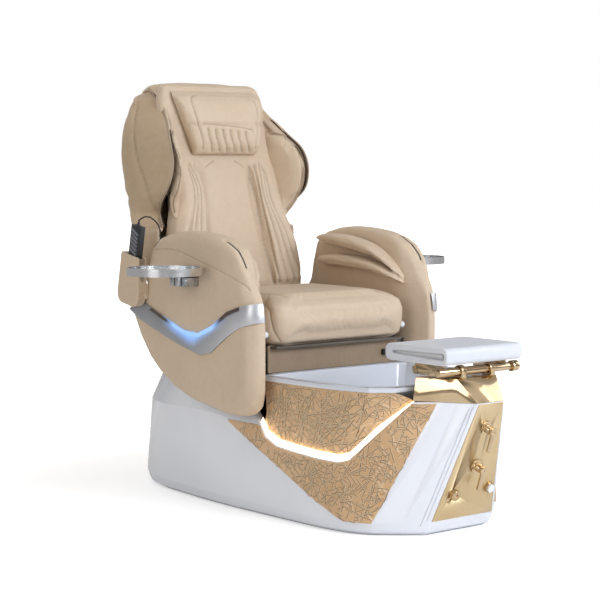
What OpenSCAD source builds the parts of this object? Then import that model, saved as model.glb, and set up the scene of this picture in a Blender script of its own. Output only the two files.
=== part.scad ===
// Pedicure chair: a massage chair on a sliding carriage over a moulded base with a foot basin.
// Frame: +Z up, the sitter faces -Y, x = 0 is the plane of symmetry, the floor is z = 0.
// Left and right are the sitter's own: left is +X, right is -X.

/* [Base] */
// Width of the moulded base at its belt
base_w = 664; // [560:4:780]
// From the origin forward to the foot of the front panel
base_front = 795; // [680:5:900]
// From the origin back to the rear wall of the base
base_rear = 605; // [470:5:640]
// Height of the basin rim above the floor
rim_z = 458; // [400:2:520]
// Height of the belt, where the base is widest
belt_z = 42; // [35:1:60]
// Wall of the moulded base
shell_t = 6; // [4:0.5:8]

/* [Seat] */
// Width of the seat cushion
seat_w = 600; // [500:5:700]
// Front edge of the seat cushion, forward of the origin
seat_front = 256; // [220:2:300]
// Rear edge of the seat cushion, behind the origin
seat_rear = 252; // [200:2:270]
// Thickness of the seat cushion at its crown
seat_t = 154; // [120:2:190]
// From the basin rim up to the seat plate
seat_lift = 88; // [84:1:120]

/* [Backrest] */
// Lean of the backrest from upright, degrees
back_tilt = 14; // [8:1:20]
// Length of the backrest from the seat line to its top edge
back_len = 855; // [720:5:1000]
// Half width of the rear casing at the shoulders
shoulder_half = 350; // [330:2:420]
// Thickness of the back cushion
back_t = 48; // [36:1:56]

/* [Armrests] */
// Height of the armrest crest above the seat plate
arm_up = 367; // [320:1:420]
// Depth of the armrest below the seat plate
arm_down = 221; // [190:1:225]
// Reach of the armrest forward of the origin
arm_front = 285; // [270:2:360]
// Reach of the armrest behind the origin
arm_rear = 400; // [340:2:440]
// Thickness of the armrest beside the seat
arm_t = 92; // [80:1:120]

/* [Trays] */
// Outer radius of the tray ring
tray_r = 122; // [100:1:140]
// Height of the tray ring
tray_h = 25; // [18:1:32]
// Height of the underside of the tray above the seat plate
tray_up = 231; // [200:1:260]

/* [Footrest] */
// Width of the footrest pad
pad_w = 314; // [260:2:380]
// Depth of the footrest pad
pad_d = 258; // [220:2:300]
// Thickness of the footrest pad
pad_t = 53; // [40:1:64]

/* [Hidden] */
$fn = 48;

// Clearances and overruns shared by all pieces
fit = 0.3;
turn_fit = 0.05;
corner_steps = 6;
over = 1;
soft_gap = 0.5;

// Colours
leather = [0.80, 0.72, 0.63];
white = [0.90, 0.92, 0.95];
tan_leather = [0.79, 0.65, 0.49];
gold = [0.80, 0.66, 0.42];
steel = [0.75, 0.76, 0.78];
dark = [0.12, 0.12, 0.13];

// Base outlines. Each row is x as a share of the half width, y as a share of the front reach
// where negative and of the rear reach where positive, and z as a share of the rim height.
base_half = base_w / 2;
belt_shares = [[0, 1], [0.45, 1], [0.65, 0.955], [0.78, 0.83], [0.88, 0.64], [0.958, 0.28],
    [0.988, 0.04], [0.997, -0.057], [1, -0.264], [1, -0.296], [1, -0.365], [1, -0.49],
    [0.993, -0.604], [0.96, -0.705], [0.935, -0.748], [0.913, -0.775], [0.865, -0.818],
    [0.813, -0.855], [0.602, -0.933], [0.398, -1], [0, -1]];
shoulder_shares = [[0, 1, 0.655], [0.45, 1, 0.655], [0.617, 0.93, 0.655], [0.753, 0.815, 0.66],
    [0.864, 0.63, 0.666], [0.949, 0.274, 0.681], [0.979, 0.037, 0.672], [0.988, -0.057, 0.657],
    [0.985, -0.264, 0.655], [0.982, -0.296, 0.572], [0.979, -0.365, 0.52], [0.97, -0.49, 0.5],
    [0.952, -0.604, 0.485], [0.91, -0.7, 0.478], [0.85, -0.742, 0.497], [0.678, -0.833, 0.688],
    [0.497, -0.943, 0.9], [0.361, -1.021, 0.906], [0.265, -1.088, 0.906], [0.166, -1.155, 0.906],
    [0, -1.155, 0.906]];
rim_shares = [[0, -0.2415], [0.768, -0.2415], [0.9, -0.249], [0.961, -0.275], [0.961, -0.31],
    [0.961, -0.377], [0.958, -0.489], [0.94, -0.604], [0.905, -0.705], [0.875, -0.765],
    [0.81, -0.84], [0.62, -0.9], [0.36, -0.908], [0, -0.908]];
// Stations along the half outline where the base changes
crease_end = 7;
ledge_first = 8;
ledge_last = 16;
tip_rear = 14;
tip_front = 17;
panel_edge = 19;
rim_offset = 5;

foot_in = 30;
foot_z = 12;
foot_mid_in = 9;
deck_z = rim_z - 40;
slope_in = 52;
ledge_in = 30;
cap_ledge_in = 14;

// Floor pan and frame
pan_t = 4;
post = 40;
post_in = 142;
post_x = base_half - post_in;
post_front_y = -150;
post_rear_share = 0.66;
beam_h = 30;
deck_t = 6;
stand_x = 110;
stand_shares = [0.42, 0.72];
stand_w = 30;

// Textured panels on the sides of the base
panel_t = 4;
panel_steps = 3;
panel_top_share = 0.985;

// Basin
rim_t = 18;
basin_wall = 8;
basin_floor_z = 172;
basin_mid_share = 0.45;
basin_edge = 4;
// Section of the basin: share of the rim outline there, from the outer floor up and back down
basin_outer_shares = [0.69, 0.79, 0.93, 1, 1, 0.985];
basin_inner_shares = [0.935, 0.915, 0.76, 0.665];
skirt_t = 6;
skirt_in = 4;
skirt_dip = 7;
skirt_bow_shares = [0.3, 0.65];
light_in = 7;
light_w = 13;
light_h = 20;
light_end_share = 0.05;
light_step_share = 0.6;
drain_r = 24;
drain_flange_r = 34;
drain_flange_t = 4;
drain_len = 60;
drain_pipe_r = 20;
drain_y_share = 0.6;
drain_hole_share = 0.2;
jet_z_share = 0.62;
jet_ring_share = 0.6;
jet_r = 48;
jet_depth = 16;
jet_wall_t = 5;
jet_slot_r = 6;
jet_slots = 8;
jet_motor_r = 34;
jet_motor_len = 62;
jet_shaft_r = 4;
impeller_r = 30;
impeller_t = 6;
impeller_blades = 5;

// Front panel: x and the height along the panel of each fitting
plate_t = 3;
plate_side_in = 3;
plate_foot = 6;
plate_head = 3;
valve_flange_r = 21;
valve_flange_t = 4;
valve_out = 26;
valve_neck_r = 13;
upper_valve_share = 0.79;
lower_valve_share = 0.46;
lever_hub_r = 13;
lever_hub_t = 12;
lever_len = 62;
lever_w = 12;
lever_t = 8;
lever_pin_r = 5;
knob_x = -72;
knob_share = 0.245;
knob_r = 17;
knob_t = 14;
knob_stem_r = 7;
knob_flange_share = 0.8;
stem_rise = 1;
button_x = 84;
button_share = 0.25;
bezel_r = 18;
bezel_t = 9;
button_r = 13;
button_t = 10;
button_travel = 3;

// Front cap
cap_rise = 72;
cap_top_half_share = 0.256;
cap_top_y_share = 1.078;
cap_rear_y_share = 0.93;
cap_rear_half_share = 0.5;
cap_wall = 5;
cap_rear_top_share = 0.86;
cap_side_top_share = 0.9;
cap_hollow_shares = [0.9, 0.92];

// Footrest
foot_axis_up = 21;
foot_axis_y_share = 1.066;
foot_tube_r = 13;
foot_tube_half = 158;
foot_lug_t = 18;
foot_lug_x = 62;
foot_lug_half = 19;
pad_lift = 24;
pad_front_over = 40;
pad_corner = 20;
pad_slot_depth = 22;
pad_slot_wall = 14;
pad_slot_h = 20;
pad_plate_t = 12;
pad_screw_shares = [0.3, 0.92];
pad_plate_w = 26;
pad_plate_len = 118;
pad_plate_x = 132;
pad_screw_r = 5;
pad_screw_t = 4;
clamp_r = 17;
clamp_t = 26;
clamp_pin_r = 6;

// Seat carriage and rails
rail_x = 200;
rail_w = 36;
rail_h = 30;
rail_y = [-170, 400];
runner_wall = 12;
runner_len = 110;
runner_grip = 22;
runner_web = 40;
runner_y = [-40, 170];
seat_plate_t = 8;
seat_plate_in = 24;
seat_plate_rear = 250;
axle_r = 12;
axle_half = 262;
axle_back = 60;
axle_drop = 20;
hinge_plate_t = 10;
hinge_plate_x = 240;
hinge_plate_r = 26;
arm_bar_h = 18;
arm_bar_d = 34;
arm_bar_y = [-168, 170];
arm_bar_drop = 50;
motor_r = 30;
motor_len = 170;
motor_y = 215;
motor_drop = 52;
apron_t = 12;
apron_w = 536;
apron_gap = 10;
apron_in = 56;
arm_plate = [6, 60, 66];
motor_rod_r = 8;
motor_rod_len = 70;
motor_mount_w = 30;

// Seat cushion
seat_corner = 55;
seat_corner_steps = 5;
seat_rows_share = [[0, 0.93], [0.06, 0.98], [0.3, 1], [0.62, 1], [0.84, 0.97], [0.95, 0.88], [1, 0.66]];

// Armrest outline: y as a share of its front or rear reach, z as a share of its height above
// or depth below the seat plate
arm_shares = [[0.7625, 0.624], [0.7025, 0.847], [0.585, 0.935], [0.4, 0.984], [0.23, 1],
    [0.025, 0.99], [-0.2276, 0.966], [-0.449, 0.929], [-0.644, 0.858], [-0.77, 0.765],
    [-0.86, 0.65], [-0.952, 0.458], [-1, 0.188], [-1, -0.258], [-0.997, -0.615],
    [-0.933, -0.842], [-0.833, -0.941], [-0.721, -0.991], [-0.471, -1], [-0.128, -0.932],
    [0.1725, -0.851], [0.3825, -0.719], [0.5975, -0.511], [0.7425, -0.303], [0.8875, 0.011],
    [0.99, 0.207], [1, 0.278], [0.8625, 0.365], [0.7875, 0.474]];
arm_centre_share = [0.1, 0.19];
arm_gap = 22;
arm_low_gap = 8;
arm_low_rise = 30;
arm_low_t = 62;
// Section of the armrest: depth in from one face and the share of the outline there
arm_inner_shares = [[0, 0.36], [0, 0.62], [0, 0.9], [5, 0.97], [14, 1]];
arm_outer_shares = [[34, 1], [16, 0.985], [6, 0.95], [0, 0.87]];
// The front of the armrest narrows: its inner face turns out and back, its outer rim turns in
arm_nose_len = 110;
arm_nose_in = 24;
arm_nose_back = 40;
arm_toe_in = 12;

// Trim strip: y share, upper and lower height as shares, and how far in it turns
trim_shares = [[[0.83, 0.36], [0.985, 0.253], 2], [[0.76, 0.33], [0.93, 0.226], 0],
    [[0.64, 0.283], [0.84, 0.175], 0],
    [[0.4425, 0.202], [0.6, 0.087], 0], [[0.2025, 0.112], [0.275, -0.03], 0],
    [[0, 0.1], [-0.03, -0.154], 0], [[-0.263, 0.18], [-0.24, -0.095], 0],
    [[-0.551, 0.319], [-0.53, 0.093], 0], [[-0.77, 0.37], [-0.753, 0.185], 0],
    [[-0.86, 0.386], [-0.87, 0.21], 0], [[-0.925, 0.398], [-0.95, 0.229], 12],
    [[-0.955, 0.401], [-0.99, 0.235], 25], [[-0.98, 0.403], [-1.015, 0.24], 46]];
trim_t = 5;
trim_cols_share = [0, 0.5, 1];
light_bar_h_share = 0.17;
light_bar_t = 2;
light_bar_first = 2;
light_bar_last = 8;

// Forearm pads: y share, height share of the upper and of the lower pad, thickness share
leaf_shares = [[0.6, 0.885, 0.66, 0.55], [0.5, 0.89, 0.68, 0.9], [0.3, 0.885, 0.692, 1],
    [0, 0.84, 0.672, 1], [-0.3, 0.79, 0.645, 0.95], [-0.52, 0.7, 0.59, 0.8],
    [-0.68, 0.6, 0.53, 0.6], [-0.78, 0.535, 0.478, 0.35]];
leaf_t = 30;
leaf_w = 76;
leaf_cols_share = [[0, 0.35], [0.12, 0.78], [0.4, 1], [0.75, 1], [1, 0.8]];
leaf_plan_share = [0.62, 0.9, 1, 1, 0.97, 0.85, 0.62, 0.3];

// Trays
tray_gap = 8;
tray_y = 8;
tray_wall = 7;
tray_ledge = 6;
tray_ledge_h = 6;
glass_t = 5;
pivot_out = 42;
pivot_y = 45;
pivot_r = 6;
tray_plate_t = 8;
clamp_block = [50, 92, 30];
collar_r = 12;
pin_top = 3;
tray_plate_points = [[-30, -45], [30, -45], [30, 75], [16, 64], [-30, 24]];
tray_boss_r = 7;
tray_boss_y = [20, 74];
tray_boss_out = 62;

// Remote control, its pocket and its cord
remote_size = [20, 54, 228];
remote_foot = 46;
remote_up = 111;
remote_y = 355;
remote_lean = 11;
pocket_size = [34, 124, 172];
pocket_wall = 6;
pocket_corner = 34;
hanger_size = [8, 64, 50];
hanger_y = 267;
hanger_up = 159;
relief_r = 4.5;
relief_len = 10;
key_count = 6;
key_h = 9;
key_w_share = 0.74;
key_t = 4;
key_pitch = 13.5;
key_top_in = 22;
key_skew = 22;
key_socket = 2;
key_travel = 1;
gland_r = 6;
gland_len = 12;
gland_edge = 1;
gland_share = 0.25;
// The gland sits this far in from the outer face of the armrest
gland_in = 50;
cord_lead = 8;
cord_route = [[-438, 288, 950], [-433, 272, 957], [-424, 256, 955], [-411, 248, 944], [-395, 250, 928],
    [-380, 262, 912], [-370, 275, 899], [-365, 283, 889]];
cord_r = 2.5;
cord_sides = 10;

// Backrest, in its own frame: x across, y back from the front face, z up along it
seat_line_y = 265;
seat_line_up = 54;
frame_w = 26;
frame_x = 213;
frame_top_in = 85;
low_bar_up = 64.5;
high_bar_in = 139;
back_lug_t = 12;
rod_r = 7;
rod_x = 120;
rod_y = 128;
rod_block = 22;
shell_bar_w = 12;
shell_bar_point = 6;
case_t = 5;
case_shares = [[0, 0.966], [0.57, 0.96], [0.83, 0.93], [0.93, 0.872], [0.985, 0.796], [1, 0.702],
    [0.988, 0.585], [0.957, 0.491], [0.9, 0.421], [0.834, 0.374], [0.823, 0.234], [0.814, 0.11],
    [0, 0.1]];
case_rings_share = [[0, 1], [0.26, 1], [0.6, 0.955], [0.84, 0.87], [0.97, 0.74], [1, 0.5]];
case_depth = 92;
case_inner_share = 0.984;
case_centre_share = 0.52;
frame_top = back_len - frame_top_in;
frame_bars = [case_shares[len(case_shares) - 1][1] * back_len + low_bar_up, back_len - high_bar_in];

// Side wings: y from the front face, height as a share of the back length
wing_shares = [[-12, 0.954], [-35, 0.912], [-51, 0.872], [-69, 0.819], [-80, 0.76],
    [-82, 0.697], [-76, 0.616], [-59, 0.541], [-35, 0.503], [-10, 0.465], [0, 0.409],
    [10, 0.3], [74, 0.29], [74, 0.4], [74, 0.5], [74, 0.6], [74, 0.7], [74, 0.8],
    [74, 0.86], [40, 0.91], [10, 0.945]];
wing_centre = [10, 0.62];
wing_t = 26;
wing_turn = 20;
wing_turn_len = 180;
wing_out = 2;
// Above this share of the back length the wings lean inward and back
wing_lean_from = 0.78;
wing_lean = 80;
wing_lean_back = 1.19;
wing_sections_share = [[0, 0.45], [0, 0.9], [0.12, 0.975], [0.35, 1], [0.65, 1], [0.88, 0.975],
    [1, 0.9], [1, 0.45]];
wing_pad_shares = [[-38, 0.812], [-66, 0.8], [-86, 0.765], [-98, 0.71], [-100, 0.64],
    [-92, 0.57], [-76, 0.51], [-52, 0.462], [-30, 0.445], [-22, 0.5], [-20, 0.58],
    [-20, 0.66], [-22, 0.74], [-28, 0.79]];
wing_pad_centre = [-52, 0.63];
// The pad is a wedge: thin at its free edge, thick where it meets the back cushion
wing_pad_t = [20, 88];
wing_pad_gap = 1.6;
wing_pad_sections_share = [[0, 0.4], [0, 0.8], [0.1, 0.93], [0.34, 1], [0.48, 0.985], [0.52, 0.985],
    [0.66, 1], [0.9, 0.93], [1, 0.8]];

// Back cushion. Rows: height share, half width share, bolster share, drop at the ends
cushion_rows_share = [[0.134, 0.9, 0.2, 1], [0.142, 0.94, 0.7, 0.35], [0.165, 0.965, 1, 0],
    [0.22, 0.975, 1, 0], [0.3, 0.965, 1, 0], [0.38, 0.9, 1, 0], [0.46, 0.83, 1, 0],
    [0.54, 0.81, 1, 0], [0.6, 0.81, 0.7, 0], [0.645, 0.81, 0.15, 0], [0.66, 0.81, 0, 0],
    [0.76, 0.81, 0, 0], [0.86, 0.8, 0, 0], [0.93, 0.77, 0, 0], [0.975, 0.72, 0, 0.3],
    [0.995, 0.64, 0, 1]];
cushion_half = 296;
// Columns: share of the half width, drop at the edge, bolster lift, groove depth
cushion_cols_share = [[0.16, 0, 0, 0], [0.36, 0, 0, 0], [0.43, 0, 0.1, 0], [0.46, 0, 0.2, 1],
    [0.49, 0, 0.72, 0], [0.55, 0, 0.95, 0.1], [0.59, 0, 1, 0.55], [0.63, 0, 1, 0.1],
    [0.69, 0, 1, 0.55], [0.73, 0, 1, 0.1], [0.79, 0, 0.95, 0.55], [0.83, 0, 0.85, 0.1],
    [0.9, 0.08, 0.7, 0.4], [0.95, 0.22, 0.4, 0], [0.985, 0.5, 0, 0], [1, 1, 0, 0]];
bolster_lift = 30;
groove_depth = 9;
edge_drop = 34;
row_drop = 30;

// Head pillow
pillow_low_share = 0.672;
pillow_high_share = 0.94;
pillow_low_half = 142;
pillow_high_half = 200;
pillow_t = 58;
// Columns: share of the half width, crown share, border groove share, pleat groove share
pillow_cols_share = [[-1, 0.25, 0, 0], [-0.965, 0.72, 0, 0], [-0.88, 0.93, 1, 0],
    [-0.8, 0.97, 0, 0], [-0.7, 0.99, 0, 0], [-0.6, 1, 0, 1], [-0.5, 1, 0, 0], [-0.4, 1, 0, 1],
    [-0.3, 1, 0, 0], [-0.2, 1, 0, 1], [-0.1, 1, 0, 0], [0, 1, 0, 1], [0.1, 1, 0, 0],
    [0.2, 1, 0, 1], [0.3, 1, 0, 0], [0.4, 1, 0, 1], [0.5, 1, 0, 0], [0.6, 1, 0, 1],
    [0.7, 0.99, 0, 0], [0.8, 0.97, 0, 0], [0.88, 0.93, 1, 0], [0.965, 0.72, 0, 0],
    [1, 0.25, 0, 0]];
pillow_rows_share = [[0, 0.2, 0, 0], [0.03, 0.6, 0, 0], [0.09, 0.85, 0, 0.4], [0.16, 0.94, 0, 1],
    [0.3, 1, 0, 1], [0.41, 1, 0, 0.6], [0.45, 1, 1, 0], [0.49, 1, 0, 0], [0.66, 0.98, 0, 0],
    [0.82, 0.88, 0, 0], [0.93, 0.66, 0, 0], [1, 0.25, 0, 0]];
pillow_groove = 5;

// Massage unit inside the backrest
carriage_size = [300, 24, 70];
carriage_h = 330;
roller_r = 22;
roller_w = 18;
roller_x = [-95, -45, 45, 95];
roller_axis_y = 84;
roller_shaft_r = 6;
roller_hub_wall = 4;
roller_lug_t = 10;
roller_lug_x = 125;

// Rear service plate
service_w = 190;
service_h = 130;
service_z = 70;
service_t = 4;
drain_stub_r = 19;
drain_stub_len = 40;
inlet_r = 10.5;
inlet_len = 26;
stub_wall = 2.5;
stub_flange = 5;
stub_flange_t = 3;
service_row_share = [-0.3, 0.02, 0.3];
inlet_box = [28, 8, 22];
inlet_share = 0.36;

// Derived places
plate_z = rim_z + seat_lift;
plate_half = seat_w / 2 - seat_plate_in;
arm_in = seat_w / 2 + arm_gap;
arm_low_in = base_half + arm_low_gap;
arm_out = max(arm_in + arm_t, arm_low_in + arm_low_t);
arm_low_shift = arm_low_in - arm_in;
rail_top = deck_z + deck_t + rail_h;
back_origin = [0, seat_line_y, plate_z + seat_line_up];
axle_y = seat_line_y + axle_back * cos(back_tilt) - axle_drop * sin(back_tilt);
axle_z = back_origin[2] - axle_back * sin(back_tilt) - axle_drop * cos(back_tilt);
remote_x = arm_out + fit + hanger_size[0] + pocket_size[0] / 2;
pocket_z = plate_z + remote_up;
case_front = back_t + frame_w + 2 * fit;
wing_rear = case_front - fit;
tray_z = plate_z + tray_up;
tray_x = arm_out + tray_gap + tray_r;
pivot_x = arm_out + pivot_out;
rim_front = -rim_shares[len(rim_shares) - 1][1] * base_front;
rim_back = -rim_shares[0][1] * base_front;
panel_low = [belt_shares[panel_edge][0] * base_half, belt_shares[panel_edge][1] * base_front, belt_z];
panel_high = [shoulder_shares[panel_edge][0] * base_half, shoulder_shares[panel_edge][1] * base_front,
    shoulder_shares[panel_edge][2] * rim_z];
panel_rise = panel_high[2] - panel_low[2];
panel_reach = panel_low[1] - panel_high[1];
panel_lean = atan2(panel_reach, panel_rise);
panel_len = norm([panel_rise, panel_reach]);
cap_z = panel_high[2];
cap_top_z = cap_z + cap_rise;
foot_axis = [0, -foot_axis_y_share * base_front, cap_top_z + foot_axis_up];

// Shape helpers
function mean(v) = [for (p = v) 1] * v / len(v);
function face_volume(p, f) = p[f[0]] * cross(p[f[1]], p[f[2]]);
function signed_volume(p, faces) = [for (f = faces) 1] * [for (f = faces) face_volume(p, f)];
function turned(faces) = [for (f = faces) [f[2], f[1], f[0]]];
function at(v, s) = v[0] + (v[1] - v[0]) * s;
function reach(s, front, rear) = s < 0 ? s * front : s * rear;
function flat(v) = [for (row = v) each row];
function mirrored(half) = concat([for (i = [len(half) - 1:-1:0]) half[i]],
    [for (i = [1:len(half) - 2]) [-half[i][0], each [for (k = [1:len(half[i]) - 1]) half[i][k]]]]);
function inward(p, d) = [for (i = [0:len(p) - 1])
    let (a = p[(i + len(p) - 1) % len(p)], b = p[(i + 1) % len(p)], t = [b[0] - a[0], b[1] - a[1]])
    [p[i][0] - d * t[1] / norm(t), p[i][1] + d * t[0] / norm(t)]];
function with_z(p, z) = [for (i = [0:len(p) - 1]) [p[i][0], p[i][1], is_list(z) ? z[i] : z]];
function heights(p) = [for (q = p) q[2]];
function drawn(p, c, s) = [for (q = p) c + (q - c) * s];

module skin(points, faces)
    polyhedron(points, signed_volume(points, faces) > 0 ? turned(faces) : faces);

// A closed solid through a stack of rings; a looped stack joins its last ring to its first.
// Both halves of a mirrored ring are split alike; one row of faces can be split the other way.
module loft(rings, looped = false, crossed = -1) {
    n = len(rings[0]);
    m = len(rings);
    sides = [for (r = [0:looped ? m - 1 : m - 2]) for (i = [0:n - 1])
        let (a = r * n + i, b = r * n + (i + 1) % n, c = (r + 1) % m * n + (i + 1) % n,
            d = (r + 1) % m * n + i) each (i < n / 2) != (r == crossed) ?
            [[a, b, d], [b, c, d]] : [[a, b, c], [a, c, d]]];
    ends = looped ? [] : concat([for (i = [0:n - 1]) [m * n, (i + 1) % n, i]],
        [for (i = [0:n - 1]) [m * n + 1, (m - 1) * n + i, (m - 1) * n + (i + 1) % n]]);
    centres = looped ? [] : [mean(rings[0]), mean(rings[m - 1])];
    skin(concat(flat(rings), centres), concat(sides, ends));
}

function border(rows, cols) = concat([for (j = [0:cols - 2]) j],
    [for (i = [0:rows - 2]) i * cols + cols - 1], [for (j = [cols - 1:-1:1]) (rows - 1) * cols + j],
    [for (i = [rows - 1:-1:1]) i * cols]);
function grid_faces(rows, cols) = [for (i = [0:rows - 2]) for (j = [0:cols - 2])
    let (a = i * cols + j) each [[a, a + 1, a + cols + 1], [a, a + cols + 1, a + cols]]];
function edge_faces(loop, step) = [for (k = [0:len(loop) - 1])
    let (f0 = loop[k], f1 = loop[(k + 1) % len(loop)]) each [[f1, f0, f0 + step], [f1, f0 + step,
        f1 + step]]];

// A closed solid between two matching grids of points
module slab(front, back) {
    rows = len(front);
    cols = len(front[0]);
    n = rows * cols;
    faces = grid_faces(rows, cols);
    skin(concat(flat(front), flat(back)), concat(faces,
        [for (f = faces) [f[0] + n, f[2] + n, f[1] + n]], edge_faces(border(rows, cols), n)));
}

// A closed solid from a grid of points back to a plain rear face
module crowned(front, behind) {
    rows = len(front);
    cols = len(front[0]);
    n = rows * cols;
    loop = border(rows, cols);
    points = flat(front);
    rear = [for (k = loop) behind(points[k])];
    m = len(loop);
    sides = [for (k = [0:m - 1]) let (j = (k + 1) % m)
        each [[loop[j], loop[k], n + k], [loop[j], n + k, n + j]]];
    fan = [for (k = [0:m - 1]) [n + m, n + (k + 1) % m, n + k]];
    skin(concat(points, rear, [mean(rear)]), concat(grid_faces(rows, cols), sides, fan));
}

module both_sides() {
    children();
    mirror([1, 0, 0]) children();
}
module box(size, centre) translate(centre) cube(size, center = true);
module in_back() translate(back_origin) rotate([-back_tilt, 0, 0]) children();
module on_panel(x, s, out = 0) translate([x, panel_low[1] - panel_reach * s,
    panel_low[2] + panel_rise * s])
    rotate([90 + panel_lean, 0, 0]) translate([0, 0, out]) children();

// Base rings
function base_points(shares) = [for (s = shares) [s[0] * base_half, reach(s[1], base_front, base_rear),
    len(s) > 2 ? s[2] * rim_z : 0]];
belt = mirrored(base_points(belt_shares));
shoulder = mirrored(base_points(shoulder_shares));
rim = mirrored([for (p = base_points(rim_shares)) [p[0], p[1], rim_z]]);
function top_in(i) = i <= crease_end ? slope_in : i <= ledge_last ? ledge_in : cap_ledge_in;
function top_height(i) = i <= crease_end ? deck_z : shoulder_shares[i][2] * rim_z;
top_half = [for (i = [0:len(shoulder_shares) - 1]) [top_in(i), top_height(i)]];
top_list = concat([for (i = [len(top_half) - 1:-1:0]) top_half[i]],
    [for (i = [1:len(top_half) - 2]) top_half[i]]);
function inward_each(p, d) = [for (i = [0:len(p) - 1]) inward(p, d[i])[i]];
top_ring = with_z(inward_each(shoulder, [for (t = top_list) t[0]]), [for (t = top_list) t[1]]);

// Base
module floor_pan() color(steel)
    linear_extrude(pan_t) polygon([for (p = inward(belt, foot_in + shell_t + fit)) [p[0], p[1]]]);

module base_frame() color(dark) {
    post_ys = [post_front_y, post_rear_share * base_rear];
    for (x = [-post_x, post_x]) {
        for (y = post_ys) translate([x - post / 2, y - post / 2, pan_t])
            cube([post, post, deck_z - beam_h - pan_t]);
        translate([x - post / 2, post_ys[0] - post / 2, deck_z - beam_h])
            cube([post, post_ys[1] - post_ys[0] + post, beam_h]);
    }
    for (y = post_ys) translate([post / 2 - post_x, y - post / 2, deck_z - beam_h])
        cube([2 * post_x - post, post, beam_h]);
    for (s = stand_shares) for (x = [-stand_x, stand_x])
        translate([x - stand_w / 2, -s * base_front - stand_w / 2, pan_t])
            cube([stand_w, stand_w, basin_floor_z - basin_wall - fit - pan_t]);
}

module base_shell() color(white) {
    foot = with_z(inward(belt, foot_in), 0);
    foot_mid = with_z(inward(belt, foot_mid_in), foot_z);
    belt_ring = with_z(belt, belt_z);
    inner_heights = [for (i = [0:len(top_ring) - 1]) top_ring[i][2] - (top_ring[i][2] < deck_z ?
        shell_t : 0)];
    loft([foot, foot_mid, belt_ring, shoulder, top_ring,
        with_z(inward(top_ring, shell_t), inner_heights),
        with_z(inward(shoulder, shell_t), [for (p = shoulder) p[2] - shell_t]),
        with_z(inward(belt, shell_t), belt_z),
        with_z(inward(belt, foot_mid_in + shell_t), foot_z),
        with_z(inward(belt, foot_in + shell_t), 0)], looped = true, crossed = 3);
}

// A point on the side of the base at a station of the half outline, at share t from belt to shoulder
function side_point(i, t, out) = let (k = len(belt_shares) - 1 - i)
    at([with_z(inward(belt, -out), belt_z)[k], with_z(inward(shoulder, -out), heights(shoulder))[k]], t);
function side_y(i) = shoulder_shares[i][1] * base_front;
function side_z(i) = shoulder_shares[i][2] * rim_z;
function tip_line(i) = (side_y(i) - side_y(tip_rear)) / (side_y(crease_end) - side_y(tip_rear));
function panel_foot(i) = i >= tip_rear ? 0 :
    min(1, tip_line(i) * (side_z(crease_end) - belt_z) / (side_z(i) - belt_z)) * panel_top_share *
        panel_top_share;
function panel_grid(out) = [for (i = [crease_end:tip_front])
    [for (k = [0:panel_steps]) side_point(i, at([panel_foot(i), panel_top_share], k / panel_steps),
        out)]];
module side_panels() color(tan_leather)
    both_sides() slab(panel_grid(fit + panel_t), panel_grid(fit));

// The skirt runs from the ledge up to the rim, drawn in above the light
function skirt_row(i, deep) = let (k = len(shoulder_shares) - 1 - i,
    r = len(rim_shares) - 1 - (i - rim_offset),
    low = inward(shoulder, light_in + light_w + fit + deep)[k], high = inward(rim, skirt_in + deep)[r],
    foot = [low[0], low[1], side_z(i) + fit], head = [high[0], high[1], rim_z - rim_t - fit])
    [foot, at([foot, head], skirt_bow_shares[0]) - [skirt_dip, 0, 0], at([foot, head],
        skirt_bow_shares[1]) - [skirt_dip / 2, 0, 0], head];
module basin_skirts() color(tan_leather)
    both_sides() slab([for (i = [ledge_first:ledge_last]) skirt_row(i, 0)],
        [for (i = [ledge_first:ledge_last]) skirt_row(i, skirt_t)]);

function ledge_point(i, d, up) = let (p = inward(shoulder, d)[len(shoulder_shares) - 1 - i])
    [p[0], p[1], side_z(i) + fit + up * (i == ledge_last ? light_end_share : 1)];
module basin_lights() color("white") both_sides()
    loft([for (i = [ledge_first:ledge_last]) [ledge_point(i, light_in, 0), ledge_point(i, light_in,
        light_h * light_step_share),
        ledge_point(i, light_in + light_w / 2, light_h), ledge_point(i, light_in + light_w, 0)]]);

basin_mid_z = at([basin_floor_z, rim_z], basin_mid_share);
basin_centre = [0, -(rim_front + rim_back) / 2, 0];
function basin_ring(s, z) = with_z(drawn(rim, basin_centre + [0, 0, rim_z], s), z);
module basin() color(white) difference() {
    outer_z = [basin_floor_z - basin_wall, basin_mid_z, rim_z - rim_t, rim_z - rim_t,
        rim_z - basin_edge, rim_z];
    inner_z = [rim_z, rim_z - basin_edge, basin_mid_z, basin_floor_z];
    loft(concat([for (i = [0:5]) basin_ring(basin_outer_shares[i], outer_z[i])],
        [for (i = [0:3]) basin_ring(basin_inner_shares[i], inner_z[i])]));
    translate([0, -drain_y_share * base_front, basin_floor_z - basin_wall - over])
        cylinder(r = drain_r, h = basin_wall + 2 * over);
}

module basin_drain() color(steel) translate([0, -drain_y_share * base_front,
    basin_floor_z]) difference() {
    union() {
        translate([0, 0, fit]) cylinder(r = drain_flange_r, h = drain_flange_t);
        translate([0, 0, -drain_len]) cylinder(r = drain_r - fit, h = drain_len + drain_flange_t);
    }
    translate([0, 0, -drain_len - over]) cylinder(r = drain_pipe_r, h = drain_len + over);
    for (a = [0:60:300]) rotate(a) translate([drain_pipe_r / 2, 0, -over])
        cylinder(r = drain_pipe_r * drain_hole_share, h = drain_flange_t + drain_len);
}

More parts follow.
